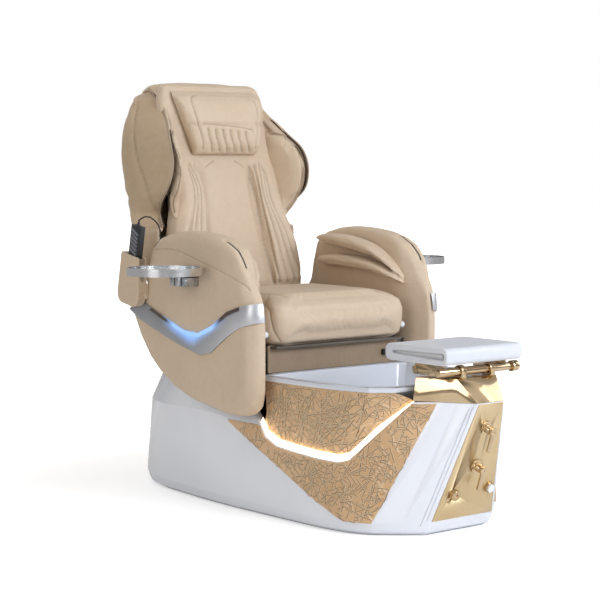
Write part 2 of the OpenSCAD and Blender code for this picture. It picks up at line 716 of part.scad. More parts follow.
jet_z = at([basin_floor_z, rim_z], jet_z_share);
basin_half_len = (rim_front - rim_back) / 2;
function wall_y(low, high, z0, z1) = basin_centre[1] + basin_half_len * at([low, high],
    (jet_z - z0) / (z1 - z0));
jet_lean = atan2(basin_half_len * (basin_inner_shares[1] - basin_inner_shares[2]),
    rim_z - basin_edge - basin_mid_z);
module on_basin_wall() translate([0, wall_y(basin_inner_shares[2], basin_inner_shares[1], basin_mid_z,
    rim_z - basin_edge), jet_z])
    rotate([90 - jet_lean, 0, 0]) children();
module jet_cover() color(white) on_basin_wall() {
    difference() {
        translate([0, 0, fit]) cylinder(r = jet_r, h = jet_depth);
        translate([0, 0, fit - over]) cylinder(r = jet_r - jet_wall_t, h = jet_depth - jet_wall_t + over);
        for (k = [0:jet_slots - 1]) rotate(k * 360 / jet_slots) translate([jet_r * jet_ring_share, 0, 0])
            cylinder(r = jet_slot_r, h = 2 * jet_depth);
    }
    translate([0, 0, 2 * fit]) cylinder(r = jet_shaft_r, h = jet_depth - jet_wall_t);
}
module jet_impeller() color(white) on_basin_wall() translate([0, 0, 1]) difference() {
    union() {
        cylinder(r = impeller_r / 3, h = impeller_t);
        for (k = [0:impeller_blades - 1]) rotate(k * 360 / impeller_blades)
            translate([0, -impeller_t / 4, 0]) cube([impeller_r, impeller_t / 2, impeller_t - over]);
    }
    translate([0, 0, -over]) cylinder(r = jet_shaft_r + turn_fit, h = impeller_t + 2 * over);
}
module jet_motor() color(dark)
    translate([0, wall_y(basin_outer_shares[1], basin_outer_shares[2], basin_mid_z, rim_z - rim_t),
        jet_z])
        rotate([-90 - atan2(basin_half_len * (basin_outer_shares[2] - basin_outer_shares[1]),
            rim_z - rim_t - basin_mid_z), 0, 0])
            translate([0, 0, fit]) {
                cylinder(r = jet_motor_r + jet_wall_t, h = jet_wall_t);
                cylinder(r = jet_motor_r, h = jet_motor_len);
            }

module rear_deck() color(steel) translate([0, 0, deck_z]) linear_extrude(deck_t)
    polygon([for (p = concat([[base_half - slope_in - shell_t, post_front_y - post / 2 - 2 * over]],
        [for (q = inward(top_ring, shell_t / 2)) if (q[1] > side_y(crease_end)) [q[0], q[1]]],
        [[-base_half + slope_in + shell_t, post_front_y - post / 2 - 2 * over]])) [p[0], p[1]]]);

module seat_rails() color(steel) both_sides() translate([rail_x - rail_w / 2, rail_y[0], deck_z + deck_t])
    cube([rail_w, rail_y[1] - rail_y[0], rail_h]);

module service_plate() color(steel) translate([-service_w / 2, base_rear + fit, service_z])
    cube([service_w, service_t, service_h]);
module service_fittings() color(dark) translate([0, base_rear + fit + service_t,
    service_z + service_h / 2])
    rotate([-90, 0, 0]) {
        translate([service_row_share[1] * service_w, 0, 0]) pipe_stub(drain_stub_r, drain_stub_len);
        for (s = [service_row_share[0], service_row_share[2]]) translate([s * service_w, 0, 0])
            pipe_stub(inlet_r, inlet_len);
        translate([0, -service_h * inlet_share, inlet_box[1] / 2]) cube([inlet_box[0], inlet_box[2],
            inlet_box[1]], center = true);
    }
module pipe_stub(r, len) difference() {
    union() {
        cylinder(r = r, h = len);
        cylinder(r = r + stub_flange, h = stub_flange_t);
    }
    translate([0, 0, stub_flange_t]) cylinder(r = r - stub_wall, h = len);
}

// Front panel and its fittings
panel_half = [panel_low[0] - plate_side_in, panel_high[0] - plate_side_in];
module front_panel() color(gold) on_panel(0, 0, fit) difference() {
    linear_extrude(plate_t) polygon([[-panel_half[0], plate_foot], [panel_half[0], plate_foot],
        [panel_half[1], panel_len - plate_head], [-panel_half[1], panel_len - plate_head]]);
    for (s = [upper_valve_share, lower_valve_share]) translate([0, s * panel_len, -over])
        cylinder(r = valve_neck_r + fit, h = plate_t + 2 * over);
    translate([knob_x, knob_share * panel_len, -over]) cylinder(r = knob_stem_r + fit,
        h = plate_t + 2 * over);
}
module valve_body(neck_r, flange_r, out) {
    translate([0, 0, fit]) cylinder(r = neck_r, h = out + plate_t);
    translate([0, 0, plate_t + 2 * fit]) cylinder(r = flange_r, h = valve_flange_t);
    cylinder(r = lever_pin_r, h = out + plate_t + lever_hub_t);
}
module valve_bodies() color(gold) {
    for (s = [upper_valve_share, lower_valve_share]) on_panel(0, s, fit) valve_body(valve_neck_r,
        valve_flange_r, valve_out);
    on_panel(knob_x, knob_share, fit) valve_body(knob_stem_r, knob_r * knob_flange_share,
        valve_flange_t + stem_rise);
}
module valve_lever(s) color(gold) on_panel(0, s, 2 * fit + plate_t + valve_out + fit) difference() {
    union() {
        cylinder(r = lever_hub_r, h = lever_hub_t);
        translate([-lever_w / 2, -lever_len, lever_hub_t - lever_t]) cube([lever_w, lever_len, lever_t]);
        translate([0, -lever_len, lever_hub_t - lever_t]) cylinder(r = lever_w / 2, h = lever_t);
    }
    translate([0, 0, -over]) cylinder(r = lever_pin_r + turn_fit, h = lever_hub_t + 2 * over);
}
module upper_valve_lever() valve_lever(upper_valve_share);
module lower_valve_lever() valve_lever(lower_valve_share);
module drain_knob() color(gold) on_panel(knob_x, knob_share,
    2 * fit + plate_t + valve_flange_t + stem_rise + fit) difference() {
    cylinder(r = knob_r, h = knob_t);
    translate([0, 0, -over]) cylinder(r = lever_pin_r + turn_fit, h = knob_t + 2 * over);
}
module button_bezel() color(gold) on_panel(button_x, button_share, 2 * fit + plate_t) difference() {
    cylinder(r = bezel_r, h = bezel_t);
    translate([0, 0, -over]) cylinder(r = button_r + fit, h = bezel_t + 2 * over);
}
module jet_button() color("white") on_panel(button_x, button_share, 2 * fit + plate_t + button_travel + 1)
    cylinder(r = button_r, h = button_t);

// Front cap: a thin faceted hood over the nose of the base
cap_low = [for (i = [ledge_last:len(shoulder_shares) - 1]) let (p = inward(shoulder,
    -fit)[len(shoulder_shares) - 1 - i])
    [p[0], p[1], cap_z + fit]];
cap_front = cap_top_y_share * base_front;
cap_rear = cap_rear_y_share * base_front;
cap_side_shares = [0, 0.36, 0.78, 1];
cap_half = concat([[0, -cap_rear, cap_z + fit], [cap_low[0][0] - 2 * shell_t, -cap_rear, cap_z + fit]],
    cap_low);
cap_top_half = concat([[0, -cap_rear, cap_top_z],
    [cap_rear_half_share * base_half * cap_rear_top_share, -cap_rear, cap_top_z]],
    [for (s = cap_side_shares) [at([cap_rear_half_share * cap_side_top_share,
        cap_top_half_share] * base_half, s),
        -at([cap_rear + shell_t, cap_front], s), cap_top_z]], [[0, -cap_front, cap_top_z]]);
module front_cap() color(gold) {
    low = mirrored(cap_half);
    high = mirrored(cap_top_half);
    centre = [0, -(cap_rear + cap_front) / 2, 0];
    loft([drawn(high, centre + [0, 0, cap_top_z - cap_wall],
        cap_hollow_shares[0]) - [for (p = high) [0, 0, cap_wall]],
        drawn(low, centre + [0, 0, cap_z + fit], cap_hollow_shares[1]), low, high]);
}

// Footrest
module foot_tube(r, half) translate([-half, foot_axis[1], foot_axis[2]]) rotate([0, 90, 0])
    cylinder(r = r, h = 2 * half);
module footrest_mount() color(gold) difference() {
    both_sides() {
        box([foot_lug_t, 2 * foot_lug_half, foot_axis_up], [foot_lug_x, foot_axis[1],
            cap_top_z + fit + foot_axis_up / 2]);
        translate([foot_lug_x - foot_lug_t / 2, foot_axis[1], foot_axis[2]]) rotate([0, 90, 0])
            cylinder(r = foot_lug_half, h = foot_lug_t);
    }
    foot_tube(foot_tube_r + turn_fit, foot_tube_half);
}
module footrest_arm() color(gold) difference() {
    union() {
        foot_tube(foot_tube_r, foot_tube_half);
        both_sides() translate([pad_plate_x - pad_plate_t / 2, foot_axis[1],
            foot_axis[2] - pad_plate_w / 2]) {
            cube([pad_plate_t, pad_plate_len, pad_plate_w]);
            translate([0, pad_plate_len, pad_plate_w / 2]) rotate([0, 90, 0])
                cylinder(r = pad_plate_w / 2, h = pad_plate_t);
            translate([0, 0, pad_plate_w / 2]) cube([pad_plate_t, pad_plate_len, pad_lift - fit]);
            for (y = pad_screw_shares) translate([pad_plate_t - over, y * pad_plate_len,
                pad_plate_w / 2]) rotate([0, 90, 0])
                cylinder(r = pad_screw_r, h = pad_screw_t + over);
        }
    }
    translate([foot_tube_half - 2 * clamp_t, foot_axis[1], foot_axis[2]]) rotate([0, 90, 0])
        cylinder(r = clamp_pin_r + turn_fit, h = 3 * clamp_t);
}
module clamp_knob() color(gold) translate([foot_tube_half + fit, foot_axis[1], foot_axis[2]])
    rotate([0, 90, 0]) {
    cylinder(r = clamp_r, h = clamp_t);
    translate([0, 0, -1.5 * clamp_t]) cylinder(r = clamp_pin_r, h = 2 * clamp_t);
}
function corner(c, r, a0, steps) = [for (k = [0:steps]) c + r * [cos(a0 + 90 * k / steps),
    sin(a0 + 90 * k / steps)]];
function rounded(w, h, r, steps) = concat(corner([w - r, h - r], r, 0, steps), corner([r, h - r], r,
    90, steps),
    corner([r, r], r, 180, steps), corner([w - r, r], r, 270, steps));
module footrest_pad() color(white)
    translate([0, foot_axis[1] - pad_front_over, foot_axis[2] + pad_lift]) difference() {
        translate([-pad_w / 2, 0, 0]) rotate([90, 0, 90]) linear_extrude(pad_w) polygon(rounded(pad_d,
            pad_t, pad_corner, corner_steps));
        both_sides() translate([pad_w / 2 - pad_slot_depth, 0, 0]) rotate([90, 0, 90])
            linear_extrude(pad_slot_depth + over)
            polygon([[pad_slot_wall, (pad_t + pad_slot_h) / 2], [pad_slot_wall, (pad_t - pad_slot_h) / 2],
                [pad_d - 2 * pad_slot_wall, (pad_t - pad_slot_h / 4) / 2], [pad_d - 2 * pad_slot_wall,
                    (pad_t + pad_slot_h / 2) / 2]]);
    }

// Seat
module seat_carriage() color(dark) {
    translate([-plate_half, seat_plate_in - seat_front, plate_z - seat_plate_t])
        cube([2 * plate_half, seat_front + seat_plate_rear - seat_plate_in, seat_plate_t]);
    foot_x = [-axle_half, axle_half];
    for (side = [-1, 1]) {
        for (y = runner_y) translate([side * rail_x, y, 0]) difference() {
            union() {
                box([rail_w + 2 * (fit + runner_wall), runner_len, runner_grip + runner_wall],
                    [0, 0, rail_top + fit + (runner_wall - runner_grip) / 2]);
                box([runner_web, runner_len, plate_z - rail_top - seat_plate_t],
                    [0, 0, (plate_z + rail_top - seat_plate_t) / 2 + over]);
            }
            box([rail_w + 2 * fit, runner_len + 2 * over, 2 * runner_grip], [0, 0,
                rail_top + fit - runner_grip]);
        }
        translate([side * hinge_plate_x - hinge_plate_t / 2, 0, 0]) {
            translate([0, axle_y + hinge_plate_r - runner_len - runner_web,
                plate_z - seat_plate_t - hinge_plate_r])
                cube([hinge_plate_t, runner_len + runner_web, hinge_plate_r + seat_plate_t - over]);
            translate([0, axle_y - hinge_plate_r, plate_z - seat_plate_t - hinge_plate_r])
                cube([hinge_plate_t, 2 * hinge_plate_r, axle_z - plate_z + seat_plate_t + hinge_plate_r]);
            translate([0, axle_y, axle_z]) rotate([0, 90, 0]) cylinder(r = hinge_plate_r,
                h = hinge_plate_t);
        }
        for (y = arm_bar_y) {
            for (drop = [0, arm_bar_drop]) arm_bar(side, y,
                plate_z - seat_plate_t - arm_bar_h / 2 - drop);
            box([arm_bar_h, arm_bar_d, arm_bar_drop + arm_bar_h],
                [side * (hinge_plate_x + arm_bar_h / 2), y,
                    plate_z - seat_plate_t - (arm_bar_drop + arm_bar_h) / 2]);
            box(arm_plate, [side * (arm_in - fit - arm_plate[0] / 2), y,
                plate_z - seat_plate_t - arm_plate[2] / 2 - over]);
        }
    }
    translate([foot_x[0], axle_y, axle_z]) rotate([0, 90, 0]) cylinder(r = axle_r, h = 2 * axle_half);
}
module arm_bar(side, y, z) box([arm_in - hinge_plate_x - arm_plate[0] / 2, arm_bar_d, arm_bar_h],
    [side * (arm_in + hinge_plate_x - arm_plate[0] / 2) / 2, y, z]);

module seat_cushion() color(leather) {
    depth = seat_front + seat_rear;
    plan = [for (p = rounded(seat_w, depth, seat_corner, seat_corner_steps)) [p[0] - seat_w / 2,
        p[1] - seat_front, 0]];
    loft([for (r = seat_rows_share) with_z(drawn(plan, [0, (seat_rear - seat_front) / 2, 0], r[1]),
        plate_z + fit + seat_t * r[0])]);
}
module seat_apron() color(leather)
    translate([-apron_w / 2, apron_in - seat_front, rim_z + apron_gap])
        cube([apron_w, apron_t, seat_lift - seat_plate_t - apron_gap]);
module recline_motor() color(dark) translate([0, motor_y, plate_z - motor_drop]) rotate([90, 0, 0]) {
    cylinder(r = motor_r, h = motor_len);
    translate([0, 0, -motor_rod_len]) cylinder(r = motor_rod_r, h = motor_rod_len + over);
    translate([-motor_mount_w / 2, 0, 0]) cube([motor_mount_w, motor_drop - seat_plate_t - fit,
        motor_len]);
}

// Armrests
arm_centre = [0, arm_centre_share[0] * arm_rear, plate_z + arm_centre_share[1] * arm_up];
function arm_point(s) = [0, reach(s[0], arm_front, arm_rear), plate_z + reach(s[1], arm_down, arm_up)];
arm_outline = [for (s = arm_shares) arm_point(s)];
function low_out(z) = arm_low_shift * min(1, max(0, (rim_z + arm_low_rise - z) / arm_low_rise));
function nose(y) = min(1, max(0, (arm_nose_len - arm_front - y) / arm_nose_len));
function arm_inner_point(p, d) =
    [arm_in + d + max(low_out(p[2]), arm_nose_in * nose(p[1])), p[1] + nose_pull(d) * nose(p[1]), p[2]];
function nose_pull(d) = arm_nose_back * (1 - d / arm_inner_shares[len(arm_inner_shares) - 1][0]);
function arm_outer_point(p, d) = [arm_out - d - (d > 0 ? arm_toe_in * nose(p[1]) : 0), p[1], p[2]];
arm_rings = concat(
    [for (r = arm_inner_shares) [for (p = drawn(arm_outline, arm_centre, r[1])) arm_inner_point(p,
        r[0])]],
    [for (r = arm_outer_shares) [for (p = drawn(arm_outline, arm_centre, r[1])) arm_outer_point(p,
        r[0])]]);
module arm_left() color(leather) loft(arm_rings);
module arm_right() color(leather) mirror([1, 0, 0]) loft(arm_rings);

function trim_point(i, s, out) = let (r = trim_shares[i], p = at([arm_point(r[0]), arm_point(r[1])], s))
    [arm_out + fit + out - r[2], p[1], p[2]];
function trim_grid(rows, shares, out) = [for (i = rows) [for (s = shares) trim_point(i, s, out)]];
trim_rows = [for (i = [0:len(trim_shares) - 1]) i];
light_rows = [for (i = [light_bar_first:light_bar_last]) i];
module arm_trims() color(steel) both_sides()
    slab(trim_grid(trim_rows, trim_cols_share, trim_t), trim_grid(trim_rows, trim_cols_share, 0));
module arm_lights() color("white") both_sides()
    slab(trim_grid(light_rows, [0, light_bar_h_share], trim_t + fit + light_bar_t),
        trim_grid(light_rows, [0, light_bar_h_share], trim_t + fit));

function leaf_point(i, which, c, side) = let (r = leaf_shares[i])
    [arm_in - fit - leaf_w * leaf_plan_share[i] * (1 - c[0]), reach(r[0], arm_front, arm_rear),
        plate_z + r[which] * arm_up + side * leaf_t / 2 * r[3] * c[1]];
module arm_pads() color(leather) for (which = [1, 2])
    slab([for (i = [0:len(leaf_shares) - 1]) [for (c = leaf_cols_share) leaf_point(i, which, c, 1)]],
        [for (i = [0:len(leaf_shares) - 1]) [for (c = leaf_cols_share) leaf_point(i, which, c, -1)]]);
module arm_pads_left() arm_pads();
module arm_pads_right() mirror([1, 0, 0]) arm_pads();

// Trays
module tray_brackets() color(steel) both_sides() {
    top = tray_z - tray_plate_t - fit;
    box([clamp_block[0] - fit, clamp_block[1], clamp_block[2]],
        [arm_out + (clamp_block[0] + fit) / 2, pivot_y, top - clamp_block[2] / 2 - pin_top]);
    translate([pivot_x, pivot_y, top - clamp_block[2]]) cylinder(r = collar_r, h = clamp_block[2]);
    translate([pivot_x, pivot_y, top - over]) cylinder(r = pivot_r,
        h = tray_plate_t + fit + over + pin_top);
}
module tray_ring() color(steel) {
    translate([tray_x, tray_y, tray_z]) difference() {
        cylinder(r = tray_r, h = tray_h);
        translate([0, 0, tray_ledge_h]) cylinder(r = tray_r - tray_wall, h = tray_h);
        translate([0, 0, -over]) cylinder(r = tray_r - tray_wall - tray_ledge, h = tray_h);
    }
    translate([pivot_x, pivot_y, tray_z - tray_plate_t]) difference() {
        linear_extrude(tray_plate_t) polygon(tray_plate_points);
        translate([0, 0, -over]) cylinder(r = pivot_r + turn_fit, h = tray_plate_t + 2 * over);
    }
    for (y = tray_boss_y) translate([arm_out + tray_boss_out, y, tray_z - over])
        cylinder(r = tray_boss_r, h = tray_ledge_h + over - fit);
}
module tray_ring_left() tray_ring();
module tray_ring_right() mirror([1, 0, 0]) tray_ring();
module tray_glass() color([0.8, 0.86, 0.86, 0.6]) translate([tray_x, tray_y, tray_z + tray_ledge_h])
    cylinder(r = tray_r - tray_wall - fit, h = glass_t);
module tray_glass_left() tray_glass();
module tray_glass_right() mirror([1, 0, 0]) tray_glass();

// Remote control on the sitter's right
module in_remote() translate([-remote_x, remote_y, pocket_z]) rotate([remote_lean, 0, 0]) children();
module remote_pocket() color(leather) {
    in_remote() difference() {
        translate([-pocket_size[0] / 2, -pocket_size[1] / 2, 0]) rotate([90, 0, 90])
            linear_extrude(pocket_size[0])
            polygon(concat([[pocket_size[1], pocket_size[2]], [0, pocket_size[2]]],
                corner([pocket_corner, pocket_corner], pocket_corner, 180, corner_steps),
                corner([pocket_size[1] - pocket_corner, pocket_corner], pocket_corner, 270,
                    corner_steps)));
        box([pocket_size[0] - 2 * pocket_wall, pocket_size[1] - 2 * pocket_wall, pocket_size[2]],
            [0, 0, remote_foot - fit + pocket_size[2] / 2]);
    }
    box(hanger_size + [over, 0, 0], [-arm_out - fit - (hanger_size[0] + over) / 2, hanger_y,
        plate_z + hanger_up]);
}
module remote_body() color(dark) in_remote() difference() {
    union() {
        translate([-remote_size[0] / 2, -remote_size[1] / 2, remote_foot]) cube(remote_size);
        translate([0, 0, remote_foot + remote_size[2] - over]) cylinder(r = relief_r,
            h = relief_len + over);
    }
    for (k = [0:key_count - 1]) at_key(k) box([2 * key_socket, key_w_share * remote_size[1] + 2 * fit,
        key_h + 2 * fit], [0, 0, 0]);
}
module at_key(k) translate([-remote_size[0] / 2, 0,
    remote_foot + remote_size[2] - key_top_in - k * key_pitch])
    rotate([key_skew, 0, 0]) children();
module remote_key(k) color([0.45, 0.46, 0.48]) in_remote() at_key(k)
    box([key_t, key_w_share * remote_size[1], key_h], [key_socket - key_travel - fit - key_t / 2, 0, 0]);
module remote_key_1() remote_key(0);
module remote_key_2() remote_key(1);
module remote_key_3() remote_key(2);
module remote_key_4() remote_key(3);
module remote_key_5() remote_key(4);
module remote_key_6() remote_key(5);

gland_ends = [arm_outline[gland_edge], arm_outline[gland_edge + 1]];
gland_foot = at(gland_ends, gland_share) - [arm_out - gland_in, 0, 0];
gland_slope = atan2(gland_ends[1][2] - gland_ends[0][2], gland_ends[0][1] - gland_ends[1][1]);
gland_way = [0, sin(gland_slope), cos(gland_slope)];
module cord_gland() color(dark) translate(gland_foot) rotate([-gland_slope, 0, 0]) translate([0, 0, fit])
    cylinder(r = gland_r, h = gland_len - fit);
relief_way = [0, -sin(remote_lean), cos(remote_lean)];
relief_top = [-remote_x, remote_y, pocket_z] + relief_way * (remote_foot + remote_size[2] + relief_len);
gland_top = gland_foot + gland_way * gland_len;
cord_points = concat([relief_top, relief_top + relief_way * cord_lead], cord_route,
    [gland_top + gland_way * cord_lead, gland_top]);
function unit(v) = v / norm(v);
function cord_way(i) = unit(i == 0 ? relief_way : i == len(cord_points) - 1 ? -gland_way :
    cord_points[i + 1] - cord_points[i - 1]);
module remote_cord() color(dark) loft([for (i = [0:len(cord_points) - 1])
    let (w = cord_way(i), u = unit(cross(w, [1, 0, 0])), v = cross(w, u))
    [for (k = [0:cord_sides - 1]) cord_points[i] + cord_r * (cos(k * 360 / cord_sides) * u + sin(k *
        360 / cord_sides) * v)]]);

// Backrest
module back_frame() color(dark) in_back() difference() {
    front = back_t + fit;
    union() {
        both_sides() {
            translate([frame_x - frame_w / 2, front, 0]) cube([frame_w, frame_w, frame_top]);
            translate([frame_x + frame_w / 2 - back_lug_t, front, -axle_drop]) cube([back_lug_t,
                frame_w, axle_drop + over]);
            translate([frame_x + frame_w / 2 - back_lug_t, axle_back, -axle_drop]) rotate([0, 90, 0])
                cylinder(r = hinge_plate_r, h = back_lug_t);
            for (z = frame_bars) translate([rod_x - rod_block / 2, front + frame_w - over,
                z - frame_w / 2])
                cube([rod_block, rod_y + rod_block / 2 - front - frame_w + over, frame_w]);
            translate([rod_x, rod_y, frame_bars[0]]) cylinder(r = rod_r,
                h = frame_bars[1] - frame_bars[0]);
            bar_z = case_shares[shell_bar_point][1] * back_len - shell_bar_w / 2;
            wall_x = case_shares[shell_bar_point][0] * shoulder_half * case_inner_share - 2 * over;
            translate([frame_x, front + frame_w - shell_bar_w, bar_z])
                cube([shoulder_half + wing_out - wing_t - shell_bar_w - frame_x, shell_bar_w,
                    shell_bar_w]);
            translate([frame_x, front + frame_w - over, bar_z]) cube([frame_w / 2,
                shell_bar_w + 2 * over, shell_bar_w]);
            translate([frame_x, case_front + fit, bar_z]) cube([wall_x - frame_x, shell_bar_w,
                shell_bar_w]);
        }
        for (z = frame_bars) translate([-frame_x, front, z - frame_w / 2]) cube([2 * frame_x, frame_w,
            frame_w]);
    }
    translate([-frame_x - frame_w, axle_back, -axle_drop]) rotate([0, 90, 0])
        cylinder(r = axle_r + turn_fit, h = 2 * (frame_x + frame_w));
}
case_centre = [0, 0, case_centre_share * back_len];
case_outline = mirrored([for (s = case_shares) [s[0] * shoulder_half, 0, s[1] * back_len]]);
function case_ring(r, k, t) = [for (p = drawn(case_outline, case_centre, r[1] * k)) p + [0,
    case_front + max(0, r[0] * case_depth - t), 0]];
case_last = len(case_rings_share) - 1;
module back_shell() color(leather) in_back() loft(concat(
    [for (i = [case_last:-1:0]) case_ring(case_rings_share[i], 1, 0)],
    [for (i = [0:case_last]) case_ring(case_rings_share[i], case_inner_share, case_t)]));

function wing_x(y) = shoulder_half + wing_out - wing_turn * (wing_rear - y) / wing_turn_len;
wing_top = wing_shares[0][1];
function wing_over(h) = wing_lean * pow(max(0,
    h / back_len - wing_lean_from) / (wing_top - wing_lean_from), 2);
function wing_at(p, depth) = [wing_x(p[1]) - depth - wing_over(p[2]),
    min(wing_rear, p[1] + wing_lean_back * wing_over(p[2])), p[2]];
function wing_outline(shares, centre, s) =
    drawn([for (q = shares) [0, q[0], q[1] * back_len]], [0, centre[0], centre[1] * back_len], s);
pad_ys = [for (q = wing_pad_shares) q[0]];
function pad_depth(y) = at(wing_pad_t, (y - min(pad_ys)) / (max(pad_ys) - min(pad_ys)));
module side_wings() color(leather) in_back() both_sides()
    loft([for (s = wing_sections_share) [for (p = wing_outline(wing_shares, wing_centre, s[1]))
        wing_at(p, wing_t * s[0])]]);
module wing_pads() color(leather) in_back() both_sides()
    loft([for (s = wing_pad_sections_share) [for (p = wing_outline(wing_pad_shares, wing_pad_centre,
        s[1]))
        wing_at(p, wing_t + wing_pad_gap + pad_depth(p[1]) * s[0])]]);

cushion_cols = concat([for (i = [len(cushion_cols_share) - 1:-1:0])
    let (c = cushion_cols_share[i]) [-c[0], c[1], c[2], c[3]]],
    [[0, 0, 0, 0]], cushion_cols_share);
module back_cushion() color(leather) in_back()
    crowned([for (r = cushion_rows_share) [for (c = cushion_cols) [cushion_half * r[1] * c[0],
        r[2] * (groove_depth * c[3] - bolster_lift * c[2]) + max(edge_drop * c[1], row_drop * r[3]),
        back_len * r[0]]]], function(p) [p[0], back_t, p[2]]);
module head_pillow() color(leather) in_back()
    crowned([for (r = pillow_rows_share) [for (c = pillow_cols_share)
        [at([pillow_low_half, pillow_high_half], r[0]) * c[0],
            pillow_groove * max(c[2], r[2], c[3] * r[3]) - soft_gap - pillow_t * c[1] * r[1],
            at([pillow_low_share, pillow_high_share], r[0]) * back_len]]], function(p) [p[0],
                -soft_gap, p[2]]);

module roller_shaft(r, half) translate([-half, roller_axis_y, carriage_h]) rotate([0, 90, 0])
    cylinder(r = r, h = 2 * half);
module massage_carriage() color(dark) in_back() difference() {
    union() {
        box(carriage_size, [0, rod_y, carriage_h]);
        both_sides() translate([roller_lug_x - roller_lug_t / 2, roller_axis_y - roller_lug_t,
            carriage_h - roller_lug_t])
            cube([roller_lug_t, rod_y - roller_axis_y, 2 * roller_lug_t]);
        roller_shaft(roller_shaft_r, roller_lug_x);
    }
    both_sides() translate([rod_x, rod_y, carriage_h - carriage_size[2]])
        cylinder(r = rod_r + turn_fit, h = 2 * carriage_size[2]);
}
module massage_rollers() color(white) in_back() difference() {
    union() {
        for (x = roller_x) translate([x - roller_w / 2, roller_axis_y, carriage_h]) rotate([0, 90,
            0]) cylinder(r = roller_r, h = roller_w);
        roller_shaft(roller_shaft_r + roller_hub_wall, roller_x[3]);
    }
    roller_shaft(roller_shaft_r + turn_fit, roller_lug_x);
}

floor_pan();
base_frame();
base_shell();
side_panels();
basin_skirts();
basin_lights();
basin();
basin_drain();
jet_cover();
jet_motor();
jet_impeller();
front_panel();
front_cap();
valve_bodies();
upper_valve_lever();
lower_valve_lever();
drain_knob();
button_bezel();
jet_button();
footrest_mount();
footrest_arm();
footrest_pad();
clamp_knob();
seat_rails();
rear_deck();
service_plate();
service_fittings();
seat_carriage();
seat_cushion();
seat_apron();
recline_motor();
arm_left();
arm_right();
arm_trims();
arm_lights();
arm_pads_left();
arm_pads_right();
tray_brackets();
tray_ring_left();
tray_ring_right();
tray_glass_left();
tray_glass_right();
remote_pocket();
remote_body();
remote_key_1();
remote_key_2();
remote_key_3();
remote_key_4();
remote_key_5();
remote_key_6();
remote_cord();
cord_gland();
back_frame();
back_shell();
side_wings();
wing_pads();
back_cushion();
head_pillow();
massage_carriage();
massage_rollers();
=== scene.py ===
import math
import random

import bmesh
import bpy
import numpy as np
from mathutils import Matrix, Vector, kdtree
from mathutils.bvhtree import BVHTree


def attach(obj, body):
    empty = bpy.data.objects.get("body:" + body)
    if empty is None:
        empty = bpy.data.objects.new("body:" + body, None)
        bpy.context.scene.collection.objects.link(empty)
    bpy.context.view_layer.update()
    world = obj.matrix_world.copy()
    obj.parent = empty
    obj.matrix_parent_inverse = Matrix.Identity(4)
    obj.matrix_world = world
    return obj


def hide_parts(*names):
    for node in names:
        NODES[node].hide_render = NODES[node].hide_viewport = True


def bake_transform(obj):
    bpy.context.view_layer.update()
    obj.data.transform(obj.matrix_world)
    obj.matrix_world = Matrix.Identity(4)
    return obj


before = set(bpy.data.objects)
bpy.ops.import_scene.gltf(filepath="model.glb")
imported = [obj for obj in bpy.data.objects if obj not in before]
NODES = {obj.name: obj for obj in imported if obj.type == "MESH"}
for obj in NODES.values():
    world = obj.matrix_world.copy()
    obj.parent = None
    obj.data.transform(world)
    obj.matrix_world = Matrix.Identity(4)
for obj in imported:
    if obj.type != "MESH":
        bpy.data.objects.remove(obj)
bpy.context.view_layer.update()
scene = bpy.context.scene
scene.view_settings.view_transform = "Standard"

# Camera: the photograph's azimuth, height and distance
AZ, PITCH, DIST = math.radians(-40), math.radians(4.4), 6.0
TARGET = Vector((0, -0.02, 0.672))


def added(name, data):
    """A new object in the scene."""
    o = bpy.data.objects.new(name, data)
    scene.collection.objects.link(o)
    return o


def mesh_of(name, verts, faces):
    mesh = bpy.data.meshes.new(name)
    mesh.from_pydata(verts, [], faces)
    return mesh


cam_data = bpy.data.cameras.new("camera")
cam_data.lens = 105.9
cam_data.sensor_width = 36
cam = added("camera", cam_data)
cam.location = TARGET + DIST * Vector((math.sin(AZ) * math.cos(PITCH), -math.cos(AZ) * math.cos(PITCH),
                                       math.sin(PITCH)))
cam.rotation_euler = (TARGET - cam.location).to_track_quat("-Z", "Y").to_euler()
scene.camera = cam

# A body and the names of two slots
BACK, BEIGE, BROWN = "backrest", "beige_leather", "brown_leather"


def rgba(v):
    """A colour with its alpha; anything else as it is."""
    return (*v, 1) if isinstance(v, tuple) and len(v) == 3 else v


